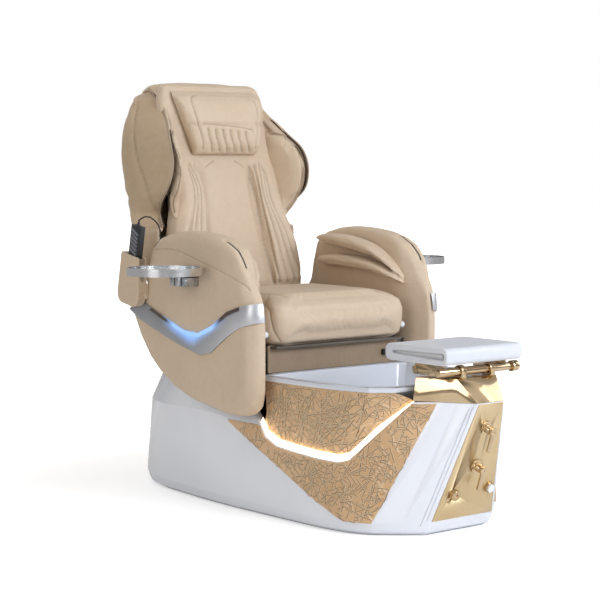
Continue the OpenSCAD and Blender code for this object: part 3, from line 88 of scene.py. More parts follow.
class Nodes:
    """Short calls for the nodes of one tree; textures use self.at unless they are given a vector."""
    def __init__(self, tree, space):
        self.t = tree
        self.at = self.node("TexCoord").outputs[space]

    def put(self, socket, v):
        if hasattr(v, "is_linked"):
            self.t.links.new(v, socket)
        elif v is not None:
            socket.default_value = v

    def node(self, kind, *values, **settings):
        """A new shader node with these settings; the values go to its first inputs."""
        n = self.t.nodes.new("ShaderNode" + kind)
        for k, v in settings.items():
            setattr(n, k, v)
        for socket, v in zip(n.inputs, values):
            self.put(socket, v)
        return n

    def fill(self, n, **values):
        """Sets or links the node's inputs by their names."""
        for k, v in values.items():
            self.put(n.inputs[k], v)
        return n

    def math(self, op, a, b=None):
        return self.node("Math", a, b, operation=op).outputs[0]

    def mul(self, a, b):
        return self.math("MULTIPLY", a, b)

    def plus(self, a, b):
        return self.math("ADD", a, b)

    def minus(self, a, b):
        return self.math("SUBTRACT", a, b)

    def size(self, a):
        return self.math("ABSOLUTE", a)

    def xyz(self):
        return self.node("SeparateXYZ", self.at).outputs

    def vec(self, x, y, z):
        return self.node("CombineXYZ", x, y, z).outputs[0]

    def noise(self, scale, detail=3.0, rough=0.5, v=None, distortion=0.0):
        n = self.node("TexNoise", self.at if v is None else v)
        return self.fill(n, Scale=scale, Detail=detail, Roughness=rough, Distortion=distortion).outputs["Fac"]

    def cells(self, scale):
        n = self.node("TexVoronoi", self.at, feature="DISTANCE_TO_EDGE")
        return self.fill(n, Scale=scale).outputs["Distance"]

    def white(self, v):
        return self.node("TexWhiteNoise", v, noise_dimensions="3D").outputs["Value"]

    def map(self, v, a, b, c=0.0, d=1.0):
        return self.node("MapRange", v, a, b, c, d, clamp=True).outputs[0]

    def mix(self, fac, a, b):
        n = self.node("Mix", fac, data_type="RGBA")
        self.put(n.inputs[6], rgba(a))
        self.put(n.inputs[7], rgba(b))
        return n.outputs[2]

    def bump(self, height, strength, distance, normal=None):
        n = self.node("Bump")
        return self.fill(n, Strength=strength, Distance=distance, Height=height, Normal=normal).outputs[0]

    def seen(self):
        """1 on rays from the camera, also on those that have passed glass."""
        ray = self.node("LightPath").outputs
        return self.math("MAXIMUM", ray["Is Camera Ray"], ray["Is Transmission Ray"])


class Mat(Nodes):
    """A Principled material of its own."""
    def __init__(self, name):
        self.m = bpy.data.materials.new(name)
        self.m.use_nodes = True
        self.b = self.m.node_tree.nodes["Principled BSDF"]
        super().__init__(self.m.node_tree, "Object")

    def set(self, **kw):
        names = {"color": "Base Color", "rough": "Roughness", "metal": "Metallic", "normal": "Normal",
                 "coat": "Coat Weight", "coat_rough": "Coat Roughness", "sheen": "Sheen Weight",
                 "sheen_rough": "Sheen Roughness", "spec": "Specular IOR Level", "emit": "Emission Color",
                 "emit_strength": "Emission Strength", "trans": "Transmission Weight", "ior": "IOR"}
        for k, v in kw.items():
            self.put(self.b.inputs[names[k]], rgba(v))
        return self.m


def lin(r, g, b):
    """An 8-bit display colour as linear light."""
    parts = (c / 255 for c in (r, g, b))
    return tuple(c / 12.92 if c <= 0.04045 else ((c + 0.055) / 1.055) ** 2.4 for c in parts)


def dimmed(color, f):
    return tuple(f * c for c in color)


def leather(name, light, deep, rough=0.5, grain=330, wrinkle=1.0):
    m = Mat(name)
    big = m.noise(3.2, 4, 0.55)
    fine = m.noise(42, 5, 0.6)
    tone = m.plus(m.mul(big, 0.6), m.mul(fine, 0.4))
    color = m.mix(m.map(tone, 0.36, 0.66), deep, light)
    cells = m.cells(grain)
    color = m.mix(m.map(cells, 0.0, 0.10, 0.22, 0.0), color, deep)
    # painted light from the surface's curvature: convex edges painted lighter as a highlight, hollows painted
    # darker as shade
    edge = m.node("NewGeometry").outputs["Pointiness"]
    color = m.mix(m.map(edge, 0.50, 0.57, 0.0, 0.35), color, lin(236, 222, 205))
    color = m.mix(m.map(edge, 0.40, 0.49, 0.55, 0.0), color, dimmed(deep, 0.5))
    # painted shade along the pressed seams and channels, read from their crease marks
    seam_shade = m.node("Attribute", attribute_name="crease").outputs["Fac"]
    color = m.mix(m.mul(seam_shade, 0.42), color, dimmed(deep, 0.42))
    pebble = m.bump(m.map(cells, 0.0, 0.22), 0.22, 0.0006)
    folds_and_shadow_lines = m.bump(m.noise(13, 3, 0.5, distortion=0.5), 0.16 * wrinkle, 0.012, pebble)
    web = m.size(m.minus(m.mul(m.noise(55, 2, 0.5, distortion=1.2), 2.0), 1.0))
    creases = m.math("POWER", m.minus(1.0, web), 7.0)
    folds_and_shadow_lines = m.bump(creases, 0.05 * wrinkle, 0.002, folds_and_shadow_lines)
    return m.set(color=color, rough=m.map(m.noise(75, 3), 0.3, 0.7, rough - 0.07, rough + 0.08),
                 normal=folds_and_shadow_lines, spec=0.42, sheen=0.06, sheen_rough=0.5)


LEATHER = leather("beige leather", lin(207, 187, 163), lin(198, 177, 152))
# the apron's leather: darker in its own tone, and darker still as painted shade from the seat cushion above
# it
APRON = leather("shaded leather", lin(160, 139, 115), lin(146, 125, 102))
LEATHER_DARK = leather("brown leather", lin(188, 165, 137), lin(176, 153, 125))
WHITE_LEATHER = leather("white leather", lin(215, 218, 225), lin(205, 209, 217), 0.4, 380)


def thread_material():
    m = Mat("thread")
    wave = m.node("TexWave", m.at, wave_type="BANDS", bands_direction="DIAGONAL")
    twist = m.fill(wave, Scale=900).outputs["Fac"]
    return m.set(color=m.mix(twist, lin(176, 152, 126), lin(220, 200, 178)), rough=0.75,
                 normal=m.bump(twist, 0.4, 0.0003))


THREAD = thread_material()


def shell_material(name, light, deep, rough=0.16, coat=0.6):
    m = Mat(name)
    tone = m.noise(2.4, 3, 0.5)
    color = m.mix(m.map(tone, 0.35, 0.7), light, deep)
    # painted shade: the hollows of the shell are darkened
    edge = m.node("NewGeometry").outputs["Pointiness"]
    color = m.mix(m.map(edge, 0.36, 0.48, 0.5, 0.0), color, lin(150, 156, 168))
    ripple = m.bump(m.noise(7, 2, 0.4), 0.03, 0.02)
    ripple = m.bump(m.noise(190, 2, 0.5), 0.02, 0.0006, ripple)
    return m.set(color=color, rough=m.map(m.noise(30, 4), 0.3, 0.75, rough - 0.04, rough + 0.08),
                 normal=ripple, coat=coat, coat_rough=0.06)


WHITE = shell_material("white acrylic", lin(229, 232, 239), lin(221, 225, 233))
BASIN_WHITE = shell_material("basin acrylic", lin(214, 218, 227), lin(204, 209, 219), 0.12)
DECK = shell_material("white deck", lin(214, 216, 221), lin(202, 205, 211), 0.35, 0.1)


def embossed(name):
    """Tan leatherette pressed with straight strokes that cross at random."""
    m = Mat(name)
    x, y, z = m.xyz()
    warp = m.mul(m.minus(m.noise(6, 2, 0.4), 0.5), 0.075)
    along = m.plus(m.plus(y, m.mul(x, 0.35)), warp)
    total = None
    # angle, distance between strokes, stroke length, and the share of strokes left out
    families = [(15, 0.034, 0.12, 0.5), (62, 0.029, 0.10, 0.48), (105, 0.026, 0.10, 0.5),
                (148, 0.038, 0.13, 0.5)]
    for k, (angle, pitch, length, gate) in enumerate(families):
        c, s = math.cos(math.radians(angle)), math.sin(math.radians(angle))
        lanes = m.math("DIVIDE", m.plus(m.mul(along, -s), m.mul(z, c)), pitch)
        lane = m.math("FLOOR", lanes)
        shift = m.white(m.vec(lane, float(k), 3.0))
        v = m.plus(m.mul(along, c), m.mul(z, s))
        dashes = m.plus(m.math("DIVIDE", v, length), shift)
        seg = m.math("FLOOR", dashes)
        shown = m.math("GREATER_THAN", m.white(m.vec(lane, seg, 7.0 + k)), gate)
        tilt = m.minus(m.white(m.vec(lane, seg, 19.0 + k)), 0.5)
        local = m.minus(m.math("FRACT", dashes), 0.5)
        centre = m.plus(0.5, m.mul(m.mul(tilt, local), 1.1))
        d = m.mul(m.size(m.minus(m.math("FRACT", lanes), centre)), pitch)
        ends = m.map(m.size(local), 0.38, 0.5, 1.0, 0.0)
        line = m.mul(m.mul(m.map(d, 0.0006, 0.0036, 1.0, 0.0), shown), ends)
        total = line if total is None else m.math("MAXIMUM", total, line)
    tone = m.noise(5, 4, 0.6)
    color = m.mix(m.map(tone, 0.35, 0.68), lin(198, 161, 119), lin(218, 184, 144))
    # the raised strokes painted lighter: a painted highlight on them
    color = m.mix(m.mul(total, 0.42), color, lin(238, 212, 178))
    normal = m.bump(m.plus(total, m.mul(m.noise(60, 3), 0.25)), 0.75, 0.0035)
    normal = m.bump(m.cells(420), 0.12, 0.0005, normal)
    return m.set(color=color, rough=m.map(total, 0.0, 1.0, 0.46, 0.34), normal=normal, spec=0.45)


TAN = embossed("embossed tan leatherette")


def metal(name, color, dark, rough, brushed=None, coat=0.0):
    m = Mat(name)
    tone = m.mix(m.map(m.noise(6, 3), 0.35, 0.7), color, dark)
    if brushed:
        streak = m.noise(1.0, 4, 0.6, v=m.vec(*(m.mul(q, f) for q, f in zip(m.xyz(), brushed))))
        return m.set(color=tone, metal=1.0, rough=m.map(streak, 0.3, 0.7, rough - 0.05, rough + 0.06),
                     normal=m.bump(streak, 0.05, 0.0003), coat=coat)
    smudge = m.noise(18, 4, 0.6)
    return m.set(color=tone, metal=1.0, rough=m.map(smudge, 0.35, 0.75, rough, rough + 0.09), coat=coat,
                 normal=m.bump(m.noise(10, 2), 0.02, 0.004))


GOLD = metal("polished gold", lin(216, 192, 156), lin(190, 162, 122), 0.07, coat=0.25)
GOLD_SATIN = metal("satin gold", lin(224, 202, 162), lin(214, 190, 148), 0.42, (30, 30, 600))


def silver_trim():
    """Satin silver strip with the blue halo that its light throws beside it."""
    m = Mat("silver trim")
    x, y, z = m.xyz()
    streak = m.noise(1.0, 4, 0.6, v=m.vec(m.mul(x, 500), m.mul(y, 60), m.mul(z, 60)))
    # painted glow: the trim itself emits the lens's blue light in a band along it
    rising = m.mul(m.math("MAXIMUM", m.minus(y, 0.05), 0.0), 0.36)
    falling = m.mul(m.math("MAXIMUM", m.minus(0.02, y), 0.0), 0.5)
    top = m.plus(0.578, m.plus(rising, falling))
    halo = m.map(m.size(m.minus(z, top)), 0.004, 0.046, 1.0, 0.0)
    halo = m.mul(m.math("POWER", halo, 1.4), m.map(m.size(m.minus(y, 0.025)), 0.11, 0.18, 1.0, 0.0))
    # painted light: the trim is lighter at its front end and darker towards the rear
    color = m.mix(m.map(y, -0.24, 0.05), lin(206, 207, 212), lin(158, 160, 164))
    color = m.mix(m.map(m.noise(6, 3), 0.35, 0.7, 0.0, 0.3), color, lin(168, 170, 175))
    return m.set(color=color, metal=0.6, rough=m.map(streak, 0.3, 0.7, 0.3, 0.45),
                 normal=m.bump(streak, 0.1, 0.0004), emit=(0.16, 0.42, 1.0), emit_strength=m.mul(halo, 1.1))


SILVER = silver_trim()
TRAY_METAL = metal("brushed tray", lin(232, 233, 236), lin(218, 220, 224), 0.2, (40, 40, 500))


def bracket_material():
    """Black plate over a bright clamp with two knuckles."""
    m = Mat("tray clamp")
    _, y, z = m.xyz()
    plate = m.map(z, 0.764, 0.7645, 0.0, 1.0)
    # painted shade: two dark lines where the clamp's knuckles part, with a groove bumped in
    gap = m.map(m.size(m.minus(m.size(m.minus(y, 0.045)), 0.018)), 0.002, 0.003, 1.0, 0.0)
    bright = m.mix(m.map(m.noise(30, 3), 0.3, 0.7), lin(196, 198, 202), lin(168, 171, 176))
    bright = m.mix(gap, bright, lin(40, 40, 42))
    return m.set(color=m.mix(plate, bright, lin(30, 30, 32)), metal=m.map(plate, 0.0, 1.0, 1.0, 0.0),
                 rough=m.map(m.noise(60, 2), 0.3, 0.7, 0.22, 0.36), normal=m.bump(gap, -0.6, 0.002))


TRAY_CLAMP = bracket_material()
ZINC = metal("zinc", lin(190, 193, 197), lin(165, 168, 172), 0.35)
CHROME = metal("chrome", lin(225, 227, 230), lin(205, 208, 212), 0.06)


def plastic(name, light, deep, rough, grain=600):
    m = Mat(name)
    tone = m.mix(m.map(m.noise(9, 4), 0.35, 0.7), light, deep)
    return m.set(color=tone, rough=m.map(m.noise(50, 3), 0.3, 0.7, rough - 0.06, rough + 0.1),
                 normal=m.bump(m.noise(grain, 2, 0.6), 0.2, 0.0004))


BLACK_STEEL = plastic("black powder coat", lin(38, 38, 41), lin(26, 26, 28), 0.5)
CARRIAGE = plastic("carriage powder coat", lin(98, 91, 82), lin(82, 76, 68), 0.5)
BLACK = plastic("black plastic", lin(52, 53, 57), lin(38, 39, 42), 0.42)
GREY = plastic("grey plastic", lin(120, 122, 127), lin(98, 100, 106), 0.4)
WHITE_PLASTIC = plastic("white plastic", lin(236, 239, 245), lin(224, 228, 236), 0.25)
RUBBER = plastic("black rubber", lin(34, 34, 36), lin(24, 24, 26), 0.6, 300)
PIPING = leather("piping", lin(196, 176, 152), lin(170, 148, 124), 0.5, 500, 0.2)
DARK_PIPING = plastic("dark piping", lin(58, 46, 36), lin(44, 35, 28), 0.5)
# painted shadow: the dark material of the tube beside the casing's edge
SHADOW = plastic("painted gap shadow", lin(70, 55, 42), lin(52, 41, 32), 0.8)
# lighter leather for the raised strokes: a painted highlight on them
TAN_RIDGE = leather("tan ridges", lin(240, 214, 178), lin(222, 194, 156), 0.3, 500, 0.2)
# dark leather for the tubes beside the strokes: painted shadow on their lower side
TAN_SHADOW_LINE = leather("tan folds", lin(142, 108, 72), lin(120, 90, 58), 0.6, 500, 0.2)


def glass_material():
    m = Mat("clear glass")
    film = m.noise(12, 3)
    return m.set(color=lin(238, 246, 246), rough=m.map(film, 0.3, 0.8, 0.01, 0.05), trans=1.0, ior=1.2,
                 normal=m.bump(m.noise(4, 2), 0.01, 0.01))


GLASS = glass_material()


def glow(name, color, strength, base):
    m = Mat(name)
    speck = m.map(m.noise(140, 2), 0.2, 0.8, 0.85, 1.0)
    return m.set(color=m.mix(speck, dimmed(base, 0.9), base), rough=0.4, emit=color,
                 emit_strength=strength)


WARM_LED = glow("warm light strip", (1.0, 0.82, 0.60), 3.0, lin(255, 240, 220))


def blue_lens():
    """Smoked lens: dark brown towards both ends, lit blue in the middle of the V."""
    m = Mat("blue light lens")
    y = m.xyz()[1]
    lit = m.map(m.size(m.minus(y, 0.025)), 0.105, 0.15, 1.0, 0.0)
    color = m.mix(lit, lin(72, 58, 48), lin(40, 70, 110))
    return m.set(color=color, rough=m.map(m.noise(40, 2), 0.3, 0.7, 0.12, 0.22), coat=0.4,
                 emit=m.mix(lit, (0.0, 0.0, 0.0), (0.34, 0.56, 0.96)), emit_strength=1.05)


BLUE_LED = blue_lens()


def paint(mesh, material):
    mesh.materials.clear()
    mesh.materials.append(material)


def shade_smooth(mesh):
    mesh.polygons.foreach_set("use_smooth", [True] * len(mesh.polygons))


# Materials of the CAD nodes
for material, names in (
    (ZINC, "floor_pan seat_rails"),
    (BLACK_STEEL, "base_frame back_frame massage_carriage"),
    (WHITE, "base_shell"),
    (TAN, "side_panels basin_skirts"),
    (WARM_LED, "basin_lights"),
    (BASIN_WHITE, "basin jet_cover"),
    (CHROME, "basin_drain"),
    (BLACK, "jet_motor service_plate recline_motor remote_body"),
    (WHITE_PLASTIC, "jet_impeller jet_button massage_rollers"),
    (GOLD_SATIN, "front_panel"),
    (GOLD, "front_cap valve_bodies upper_valve_lever lower_valve_lever drain_knob button_bezel "
           "footrest_mount footrest_arm clamp_knob"),
    (WHITE_LEATHER, "footrest_pad"),
    (DECK, "rear_deck"),
    (GREY, "service_fittings remote_key_1 remote_key_2 remote_key_3 remote_key_4 remote_key_5 "
           "remote_key_6"),
    (CARRIAGE, "seat_carriage"),
    (LEATHER, "seat_cushion arm_left arm_right arm_pads_left arm_pads_right remote_pocket wing_pads "
              "back_cushion head_pillow"),
    (APRON, "seat_apron"),
    (SILVER, "arm_trims"),
    (BLUE_LED, "arm_lights"),
    (TRAY_CLAMP, "tray_brackets"),
    (TRAY_METAL, "tray_ring_left tray_ring_right"),
    (GLASS, "tray_glass_left tray_glass_right"),
    (RUBBER, "remote_cord cord_gland"),
    (LEATHER_DARK, "back_shell side_wings"),
):
    for name in names.split():
        paint(NODES[name].data, material)

# Stage: a pale floor that glows where the camera sees it
floor_mesh = mesh_of("floor", [(-30, -30, 0), (30, -30, 0), (30, 30, 0), (-30, 30, 0)], [(0, 1, 2, 3)])
floor = added("floor", floor_mesh)
fm = Mat("pale floor")
fx, fy, _ = fm.xyz()
away = fm.math("SQRT", fm.plus(fm.mul(fx, fx), fm.mul(fy, fy)))
fm.set(color=lin(240, 240, 241), rough=0.9, spec=0.0, emit=(1.0, 1.0, 1.0),
       emit_strength=fm.mul(fm.seen(), fm.map(away, 1.0, 3.2, 0.42, 1.1)))
floor_mesh.materials.append(fm.m)


def studio():
    """Warm light on matt surfaces, a cloudy room for metal to mirror, and white behind the chair."""
    world = bpy.data.worlds.new("studio")
    world.use_nodes = True
    world.node_tree.nodes.clear()
    w = Nodes(world.node_tree, "Generated")

    def light(color, strength):
        return w.node("Background", rgba(color), strength).outputs[0]

    rise = w.map(w.xyz()[2], -0.05, 0.5, 0.28, 0.85)
    clouds = w.map(w.noise(2.4, 2), 0.42, 0.56, 0.18, 1.15)
    room = light((0.8, 0.8, 0.8), w.mul(rise, clouds))
    glossy = w.node("LightPath").outputs["Is Glossy Ray"]
    lit = w.node("MixShader", glossy, light((1.0, 0.975, 0.94), 0.46), room).outputs[0]
    shown = w.node("MixShader", w.seen(), lit, light((1, 1, 1), 1.0)).outputs[0]
    w.node("OutputWorld", shown)
    return world


scene.world = studio()


def area(name, place, aim, size, energy, color=(1, 1, 1)):
    d = bpy.data.lights.new(name, "AREA")
    d.shape = "RECTANGLE"
    d.size, d.size_y = size
    d.energy = energy
    d.color = color
    o = added(name, d)
    o.location = place
    o.rotation_euler = (Vector(aim) - Vector(place)).to_track_quat("-Z", "Y").to_euler()


area("key", (0.9, -4.7, 2.3), (0, -0.1, 0.7), (2.4, 1.8), 146, (0.91, 0.96, 1.05))
area("left", (-4.6, -1.6, 1.9), (0, 0, 0.55), (2.4, 2.4), 47, (1.0, 0.98, 0.95))
area("right", (4.4, -1.6, 2.4), (0, 0, 0.7), (2.2, 2.6), 36, (0.97, 0.98, 1.0))
area("back", (0.6, 4.4, 3.0), (0, 0.2, 0.9), (3.0, 2.0), 30, (1.0, 0.99, 0.97))
area("top", (0, -0.6, 4.6), (0, 0, 0.4), (2.4, 2.4), 20)


WELD = 0.00002  # corners of the CAD mesh that are closer than this become one


def soften(node, width, segments, angle):
    """Bevels the hard edges of a CAD node and shades it smooth."""
    o = NODES[node]
    o.modifiers.new("weld", "WELD").merge_threshold = WELD
    b = o.modifiers.new("bevel", "BEVEL")
    b.width = width
    b.segments = segments
    b.limit_method = "ANGLE"
    b.angle_limit = math.radians(angle)
    b.harden_normals = True
    shade_smooth(o.data)


soften("base_shell", 0.006, 3, 12)
soften("basin", 0.004, 3, 30)
for name in ("side_panels", "basin_skirts", "front_panel", "front_cap"):
    soften(name, 0.0012, 2, 20)
for name in ("arm_trims", "upper_valve_lever", "lower_valve_lever", "valve_bodies", "drain_knob",
             "button_bezel", "footrest_mount", "footrest_arm", "clamp_knob", "tray_brackets", "remote_body",
             "rear_deck", "service_plate", "seat_carriage"):
    soften(name, 0.0008, 2, 35)

# The photograph's pixels as rays: the camera's axes, and its focal length and middle in pixels
FWD = (TARGET - cam.location).normalized()
RIGHT = FWD.cross(Vector((0, 0, 1))).normalized()
UP = RIGHT.cross(FWD)
FOCAL, MIDDLE = 1765, 300


def sight(u, v):
    """The direction in which a pixel looks."""
    return FWD + RIGHT * ((u - MIDDLE) / FOCAL) - UP * ((v - MIDDLE) / FOCAL)


def at_plane(u, v, value, axis=0):
    """The point seen at a pixel, where its x (or the coordinate on another axis) is known."""
    way = sight(u, v)
    return cam.location + way * ((value - cam.location[axis]) / way[axis])


def evaluated(o):
    dg = bpy.context.evaluated_depsgraph_get()
    dg.update()
    return bpy.data.meshes.new_from_object(o.evaluated_get(dg), depsgraph=dg)


def worked(mesh, steps):
    """The mesh after a list of (modifier type, settings)."""
    o = added("work", mesh)
    for kind, settings in steps:
        m = o.modifiers.new(kind, kind)
        for k, v in settings.items():
            setattr(m, k, v)
    made = evaluated(o)
    bpy.data.objects.remove(o)
    return made


def cad(name):
    return NODES[name].data.copy()


def remeshed(mesh, voxel, smooth):
    return worked(mesh, [("REMESH", {"mode": "VOXEL", "voxel_size": voxel, "use_smooth_shade": True}),
                         ("SMOOTH", {"factor": 0.6, "iterations": smooth})])


def coords(mesh):
    a = np.empty(len(mesh.vertices) * 3, np.float32)
    mesh.vertices.foreach_get("co", a)
    return a.reshape(-1, 3).astype(float)


def normals(mesh):
    a = np.empty(len(mesh.vertices) * 3, np.float32)
    mesh.vertex_normals.foreach_get("vector", a)
    return a.reshape(-1, 3).astype(float)


def place(mesh, co):
    mesh.vertices.foreach_set("co", co.astype(np.float32).ravel())
    mesh.update()


CLOTH_FRAMES = 16


def inflated(mesh, pressure, cap, shrink=0.002):
    """Cloth simulation under pressure; no point moves further than cap."""
    start = coords(mesh)
    place(mesh, start - shrink * normals(mesh))
    o = added("work", mesh)
    c = o.modifiers.new("cloth", "CLOTH")
    s = c.settings
    s.quality = 4
    s.use_pressure = True
    s.uniform_pressure_force = pressure
    s.effector_weights.gravity = 0
    s.tension_stiffness = s.compression_stiffness = 12
    s.bending_stiffness = 0.6
    c.collision_settings.use_collision = False
    c.point_cache.frame_start = 1
    c.point_cache.frame_end = CLOTH_FRAMES
    for f in range(1, CLOTH_FRAMES + 1):
        scene.frame_set(f)
    made = evaluated(o)
    moved = coords(made) - start
    scene.frame_set(1)
    bpy.data.objects.remove(o)
    far = np.linalg.norm(moved, axis=1, keepdims=True)
    place(made, start + moved * np.minimum(1, cap / np.maximum(far, 1e-9)))
    return made


def finer(mesh):
    return worked(mesh, [("SUBSURF", {"levels": 1})])


def tree_of(mesh):
    bm = bmesh.new()
    bm.from_mesh(mesh)
    tree = BVHTree.FromBMesh(bm)
    bm.free()
    return tree


def seen_at(tree, pixels):
    """The points of a surface that show at these pixels of the photograph."""
    out = []
    for u, v in pixels:
        way = sight(u, v).normalized()
        hit = tree.ray_cast(cam.location, way)[0]
        if hit is None:  # the ray misses: take the point nearest to it
            along = (cam.location + way * (5 + 0.02 * k) for k in range(90))
            hit = min((tree.find_nearest(p) for p in along), key=lambda q: q[3])[0]
        out.append(hit)
    return out


def flip(p):
    return Vector((-p.x, p.y, p.z))


def mirror(points):
    return [flip(p) for p in points]


def curve(points, step=0.004):
    """Catmull-Rom through the points, evenly spaced."""
    p = [Vector(q) for q in points]
    p = [p[0], *p, p[-1]]
    out = []
    for a, b, c, d in zip(p, p[1:], p[2:], p[3:]):
        parts = max(1, int((c - b).length / step))
        for k in range(parts):
            t = k / parts
            out.append(0.5 * ((2 * b) + (c - a) * t + (2 * a - 5 * b + 4 * c - d) * t * t
                              + (3 * b - a - 3 * c + d) * t ** 3))
    return out + [p[-1]]


def laid(tree, points, lift=0.0, step=0.004):
    """The curve dropped onto the surface, as a run of (point, normal)."""
    out = []
    for q in curve(points, step):
        co, no = tree.find_nearest(q)[:2]
        out.append((co + no * lift, no))
    return out


def both_sides(tree, pixels, lift=0.0):
    """The curve through what these pixels show, and its mirror image on the other half."""
    points = seen_at(tree, pixels)
    return [laid(tree, points, lift), laid(tree, mirror(points), lift)]


def pressed(mesh, paths, depth, width, wide, broad):
    """Presses seams along runs of (point, normal) into the surface and marks them for the painted shade that
    the leather material lays along them.
    """
    co, no = coords(mesh), normals(mesh)
    pts = np.array([tuple(p) for run in paths for p, _ in run])
    kd = kdtree.KDTree(len(pts))
    for k, p in enumerate(pts):
        kd.insert(p, k)
    kd.balance()
    low, high = pts.min(0) - 4 * broad, pts.max(0) + 4 * broad
    near = np.where(((co > low) & (co < high)).all(1))[0]
    d = np.full(len(co), 9.0)
    for i in near:
        d[i] = kd.find(co[i])[2]
    fold = depth * np.exp(-(d / width) ** 2) + wide * np.exp(-(d / broad) ** 2)
    place(mesh, co - no * fold[:, None])
    mark = mesh.attributes.get("crease") or mesh.attributes.new("crease", "FLOAT", "POINT")
    old = np.zeros(len(co), np.float32)
    mark.data.foreach_get("value", old)
    mark.data.foreach_set("value", np.maximum(old, np.exp(-(d / (0.62 * width)) ** 2)).astype(np.float32))


def piece(name, mesh, body, material, replaces=(), smooth=True):
    o = added(name, mesh)
    paint(mesh, material)
    if smooth:
        shade_smooth(mesh)
    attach(o, body)
    if replaces:
        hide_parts(*replaces)
    return o


def wrapped(base, rings, sides, flipped=False):
    """The faces round rings of vertices that start at base, with a cap at each end."""
    faces = []
    for i in range(base, base + (rings - 1) * sides, sides):
        for k in range(sides):
            n = (k + 1) % sides
            faces.append((i + k, i + n, i + sides + n, i + sides + k))
    first = tuple(range(base, base + sides))
    last = tuple(range(base + (rings - 1) * sides, base + rings * sides))
    return faces + ([first[::-1], last] if flipped else [first, last[::-1]])


def tubes(name, runs, radius, body, material, sides=8, flat=1.0):
    """Round cords along runs of (point, normal); their ends taper and dive under the surface."""
    verts, faces = [], []
    for run in runs:
        base, n = len(verts), len(run)
        for i, (p, no) in enumerate(run):
            t = (run[min(i + 1, n - 1)][0] - run[max(i - 1, 0)][0]).normalized()
            side = t.cross(no).normalized()
            up = side.cross(t)
            end = 0.35 if i in (0, n - 1) else 1.0
            p = p - no * radius * 1.6 if end < 1 else p
            for k in range(sides):
                w = 2 * math.pi * k / sides
                verts.append(p + end * radius * (side * math.cos(w) + up * math.sin(w) * flat))
        faces += wrapped(base, n, sides)
    return piece(name, mesh_of(name, verts, faces), body, material)


STITCH, GAP, THREAD_RADIUS = 0.0045, 0.0025, 0.0006
THREAD_LIFT = 0.4 * THREAD_RADIUS


def stitches(name, runs, body, offset):
    """Thread dashes along runs of (point, normal), moved sideways by offset."""
    dashes = []
    for run in runs:
        line = []
        for i, (p, no) in enumerate(run):
            t = (run[min(i + 1, len(run) - 1)][0] - run[max(i - 1, 0)][0]).normalized()
            line.append((p + t.cross(no).normalized() * offset, no))
        walked, start = 0.0, None
        for (p, no), (q, _) in zip(line, line[1:]):
            step = (q - p).length
            if start is None and walked >= GAP:
                start, walked = (p + no * THREAD_LIFT, no), 0.0
            elif start is not None and walked >= STITCH:
                dashes.append([start, (p + no * THREAD_LIFT, no)])
                start, walked = None, 0.0
            walked += step
    return tubes(name, dashes, THREAD_RADIUS, body, THREAD, sides=5)


def seam(name, mesh, body, paths, depth, width, wide, broad, offset):
    """A sewn seam with a row of stitches on each side, or one row in its middle when offset is 0."""
    pressed(mesh, paths, depth, width, wide, broad)
    tree = tree_of(mesh)
    fine = [laid(tree, [tree.find_nearest(p)[0] for p, _ in run], step=0.0012) for run in paths]
    for k, side in enumerate((1, -1)):
        if offset or k == 0:
            stitches(f"{name}_thread_{k + 1}", fine, body, side * offset)


def spread(points, n):
    """n points evenly along a Catmull-Rom curve."""
    dense = curve(points, 0.002)
    dist = [0.0]
    for p, q in zip(dense, dense[1:]):
        dist.append(dist[-1] + (q - p).length)
    out, k = [], 0
    for i in range(n):
        want = dist[-1] * i / (n - 1)
        while k < len(dist) - 2 and dist[k + 1] < want:
            k += 1
        f = (want - dist[k]) / max(1e-9, dist[k + 1] - dist[k])
        out.append(dense[k].lerp(dense[k + 1], min(1, max(0, f))))
    return out


def net(rows, across, along):
    """A smooth grid through rows of control points."""
    wide = [spread(r, across) for r in rows]
    cols = [spread([w[j] for w in wide], along) for j in range(across)]
    verts = [cols[j][i] for i in range(along) for j in range(across)]
    faces = [(i * across + j, i * across + j + 1, (i + 1) * across + j + 1, (i + 1) * across + j)
             for i in range(along - 1) for j in range(across - 1)]
    return mesh_of("net", verts, faces)


def thick(mesh, thickness, offset=0, even=False):
    """A sheet made solid, with its edges rounded."""
    return worked(mesh, [("SOLIDIFY", {"thickness": thickness, "offset": offset, "use_even_offset": even}),
                         ("SUBSURF", {"levels": 1})])


def both(mesh):
    """The mesh and its mirror image in one mesh."""
    bm = bmesh.new()
    bm.from_mesh(mesh)
    made = bmesh.ops.duplicate(bm, geom=bm.verts[:] + bm.edges[:] + bm.faces[:])["geom"]
    for e in made:
        if isinstance(e, bmesh.types.BMVert):
            e.co.x = -e.co.x
    bmesh.ops.reverse_faces(bm, faces=[e for e in made if isinstance(e, bmesh.types.BMFace)])
    bm.to_mesh(mesh)
    bm.free()
    return mesh


def bridge(name, half, profile, material):
    """A strip of leather that crosses a joint; profile is its (y, z) section."""
    cols = [Vector((half * f, 0, 0)) for f in (-1, -0.5, 0, 0.5, 1)]
    rows = [[c + Vector((0, y + 0.06 * c.x ** 2, z)) for c in cols] for y, z in profile]
    mesh = thick(net(rows, 41, 16), 0.005)
    paint(mesh, material)
    shade_smooth(mesh)
    o = added(name, mesh)
    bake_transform(o)


STEP = 0.006  # distance between two points of a stroke
OFF = 0.0015  # a step that lies further than this from the panel has left it
OUTWARD = -0.3  # largest x of a normal that counts as the outer side of the left panel


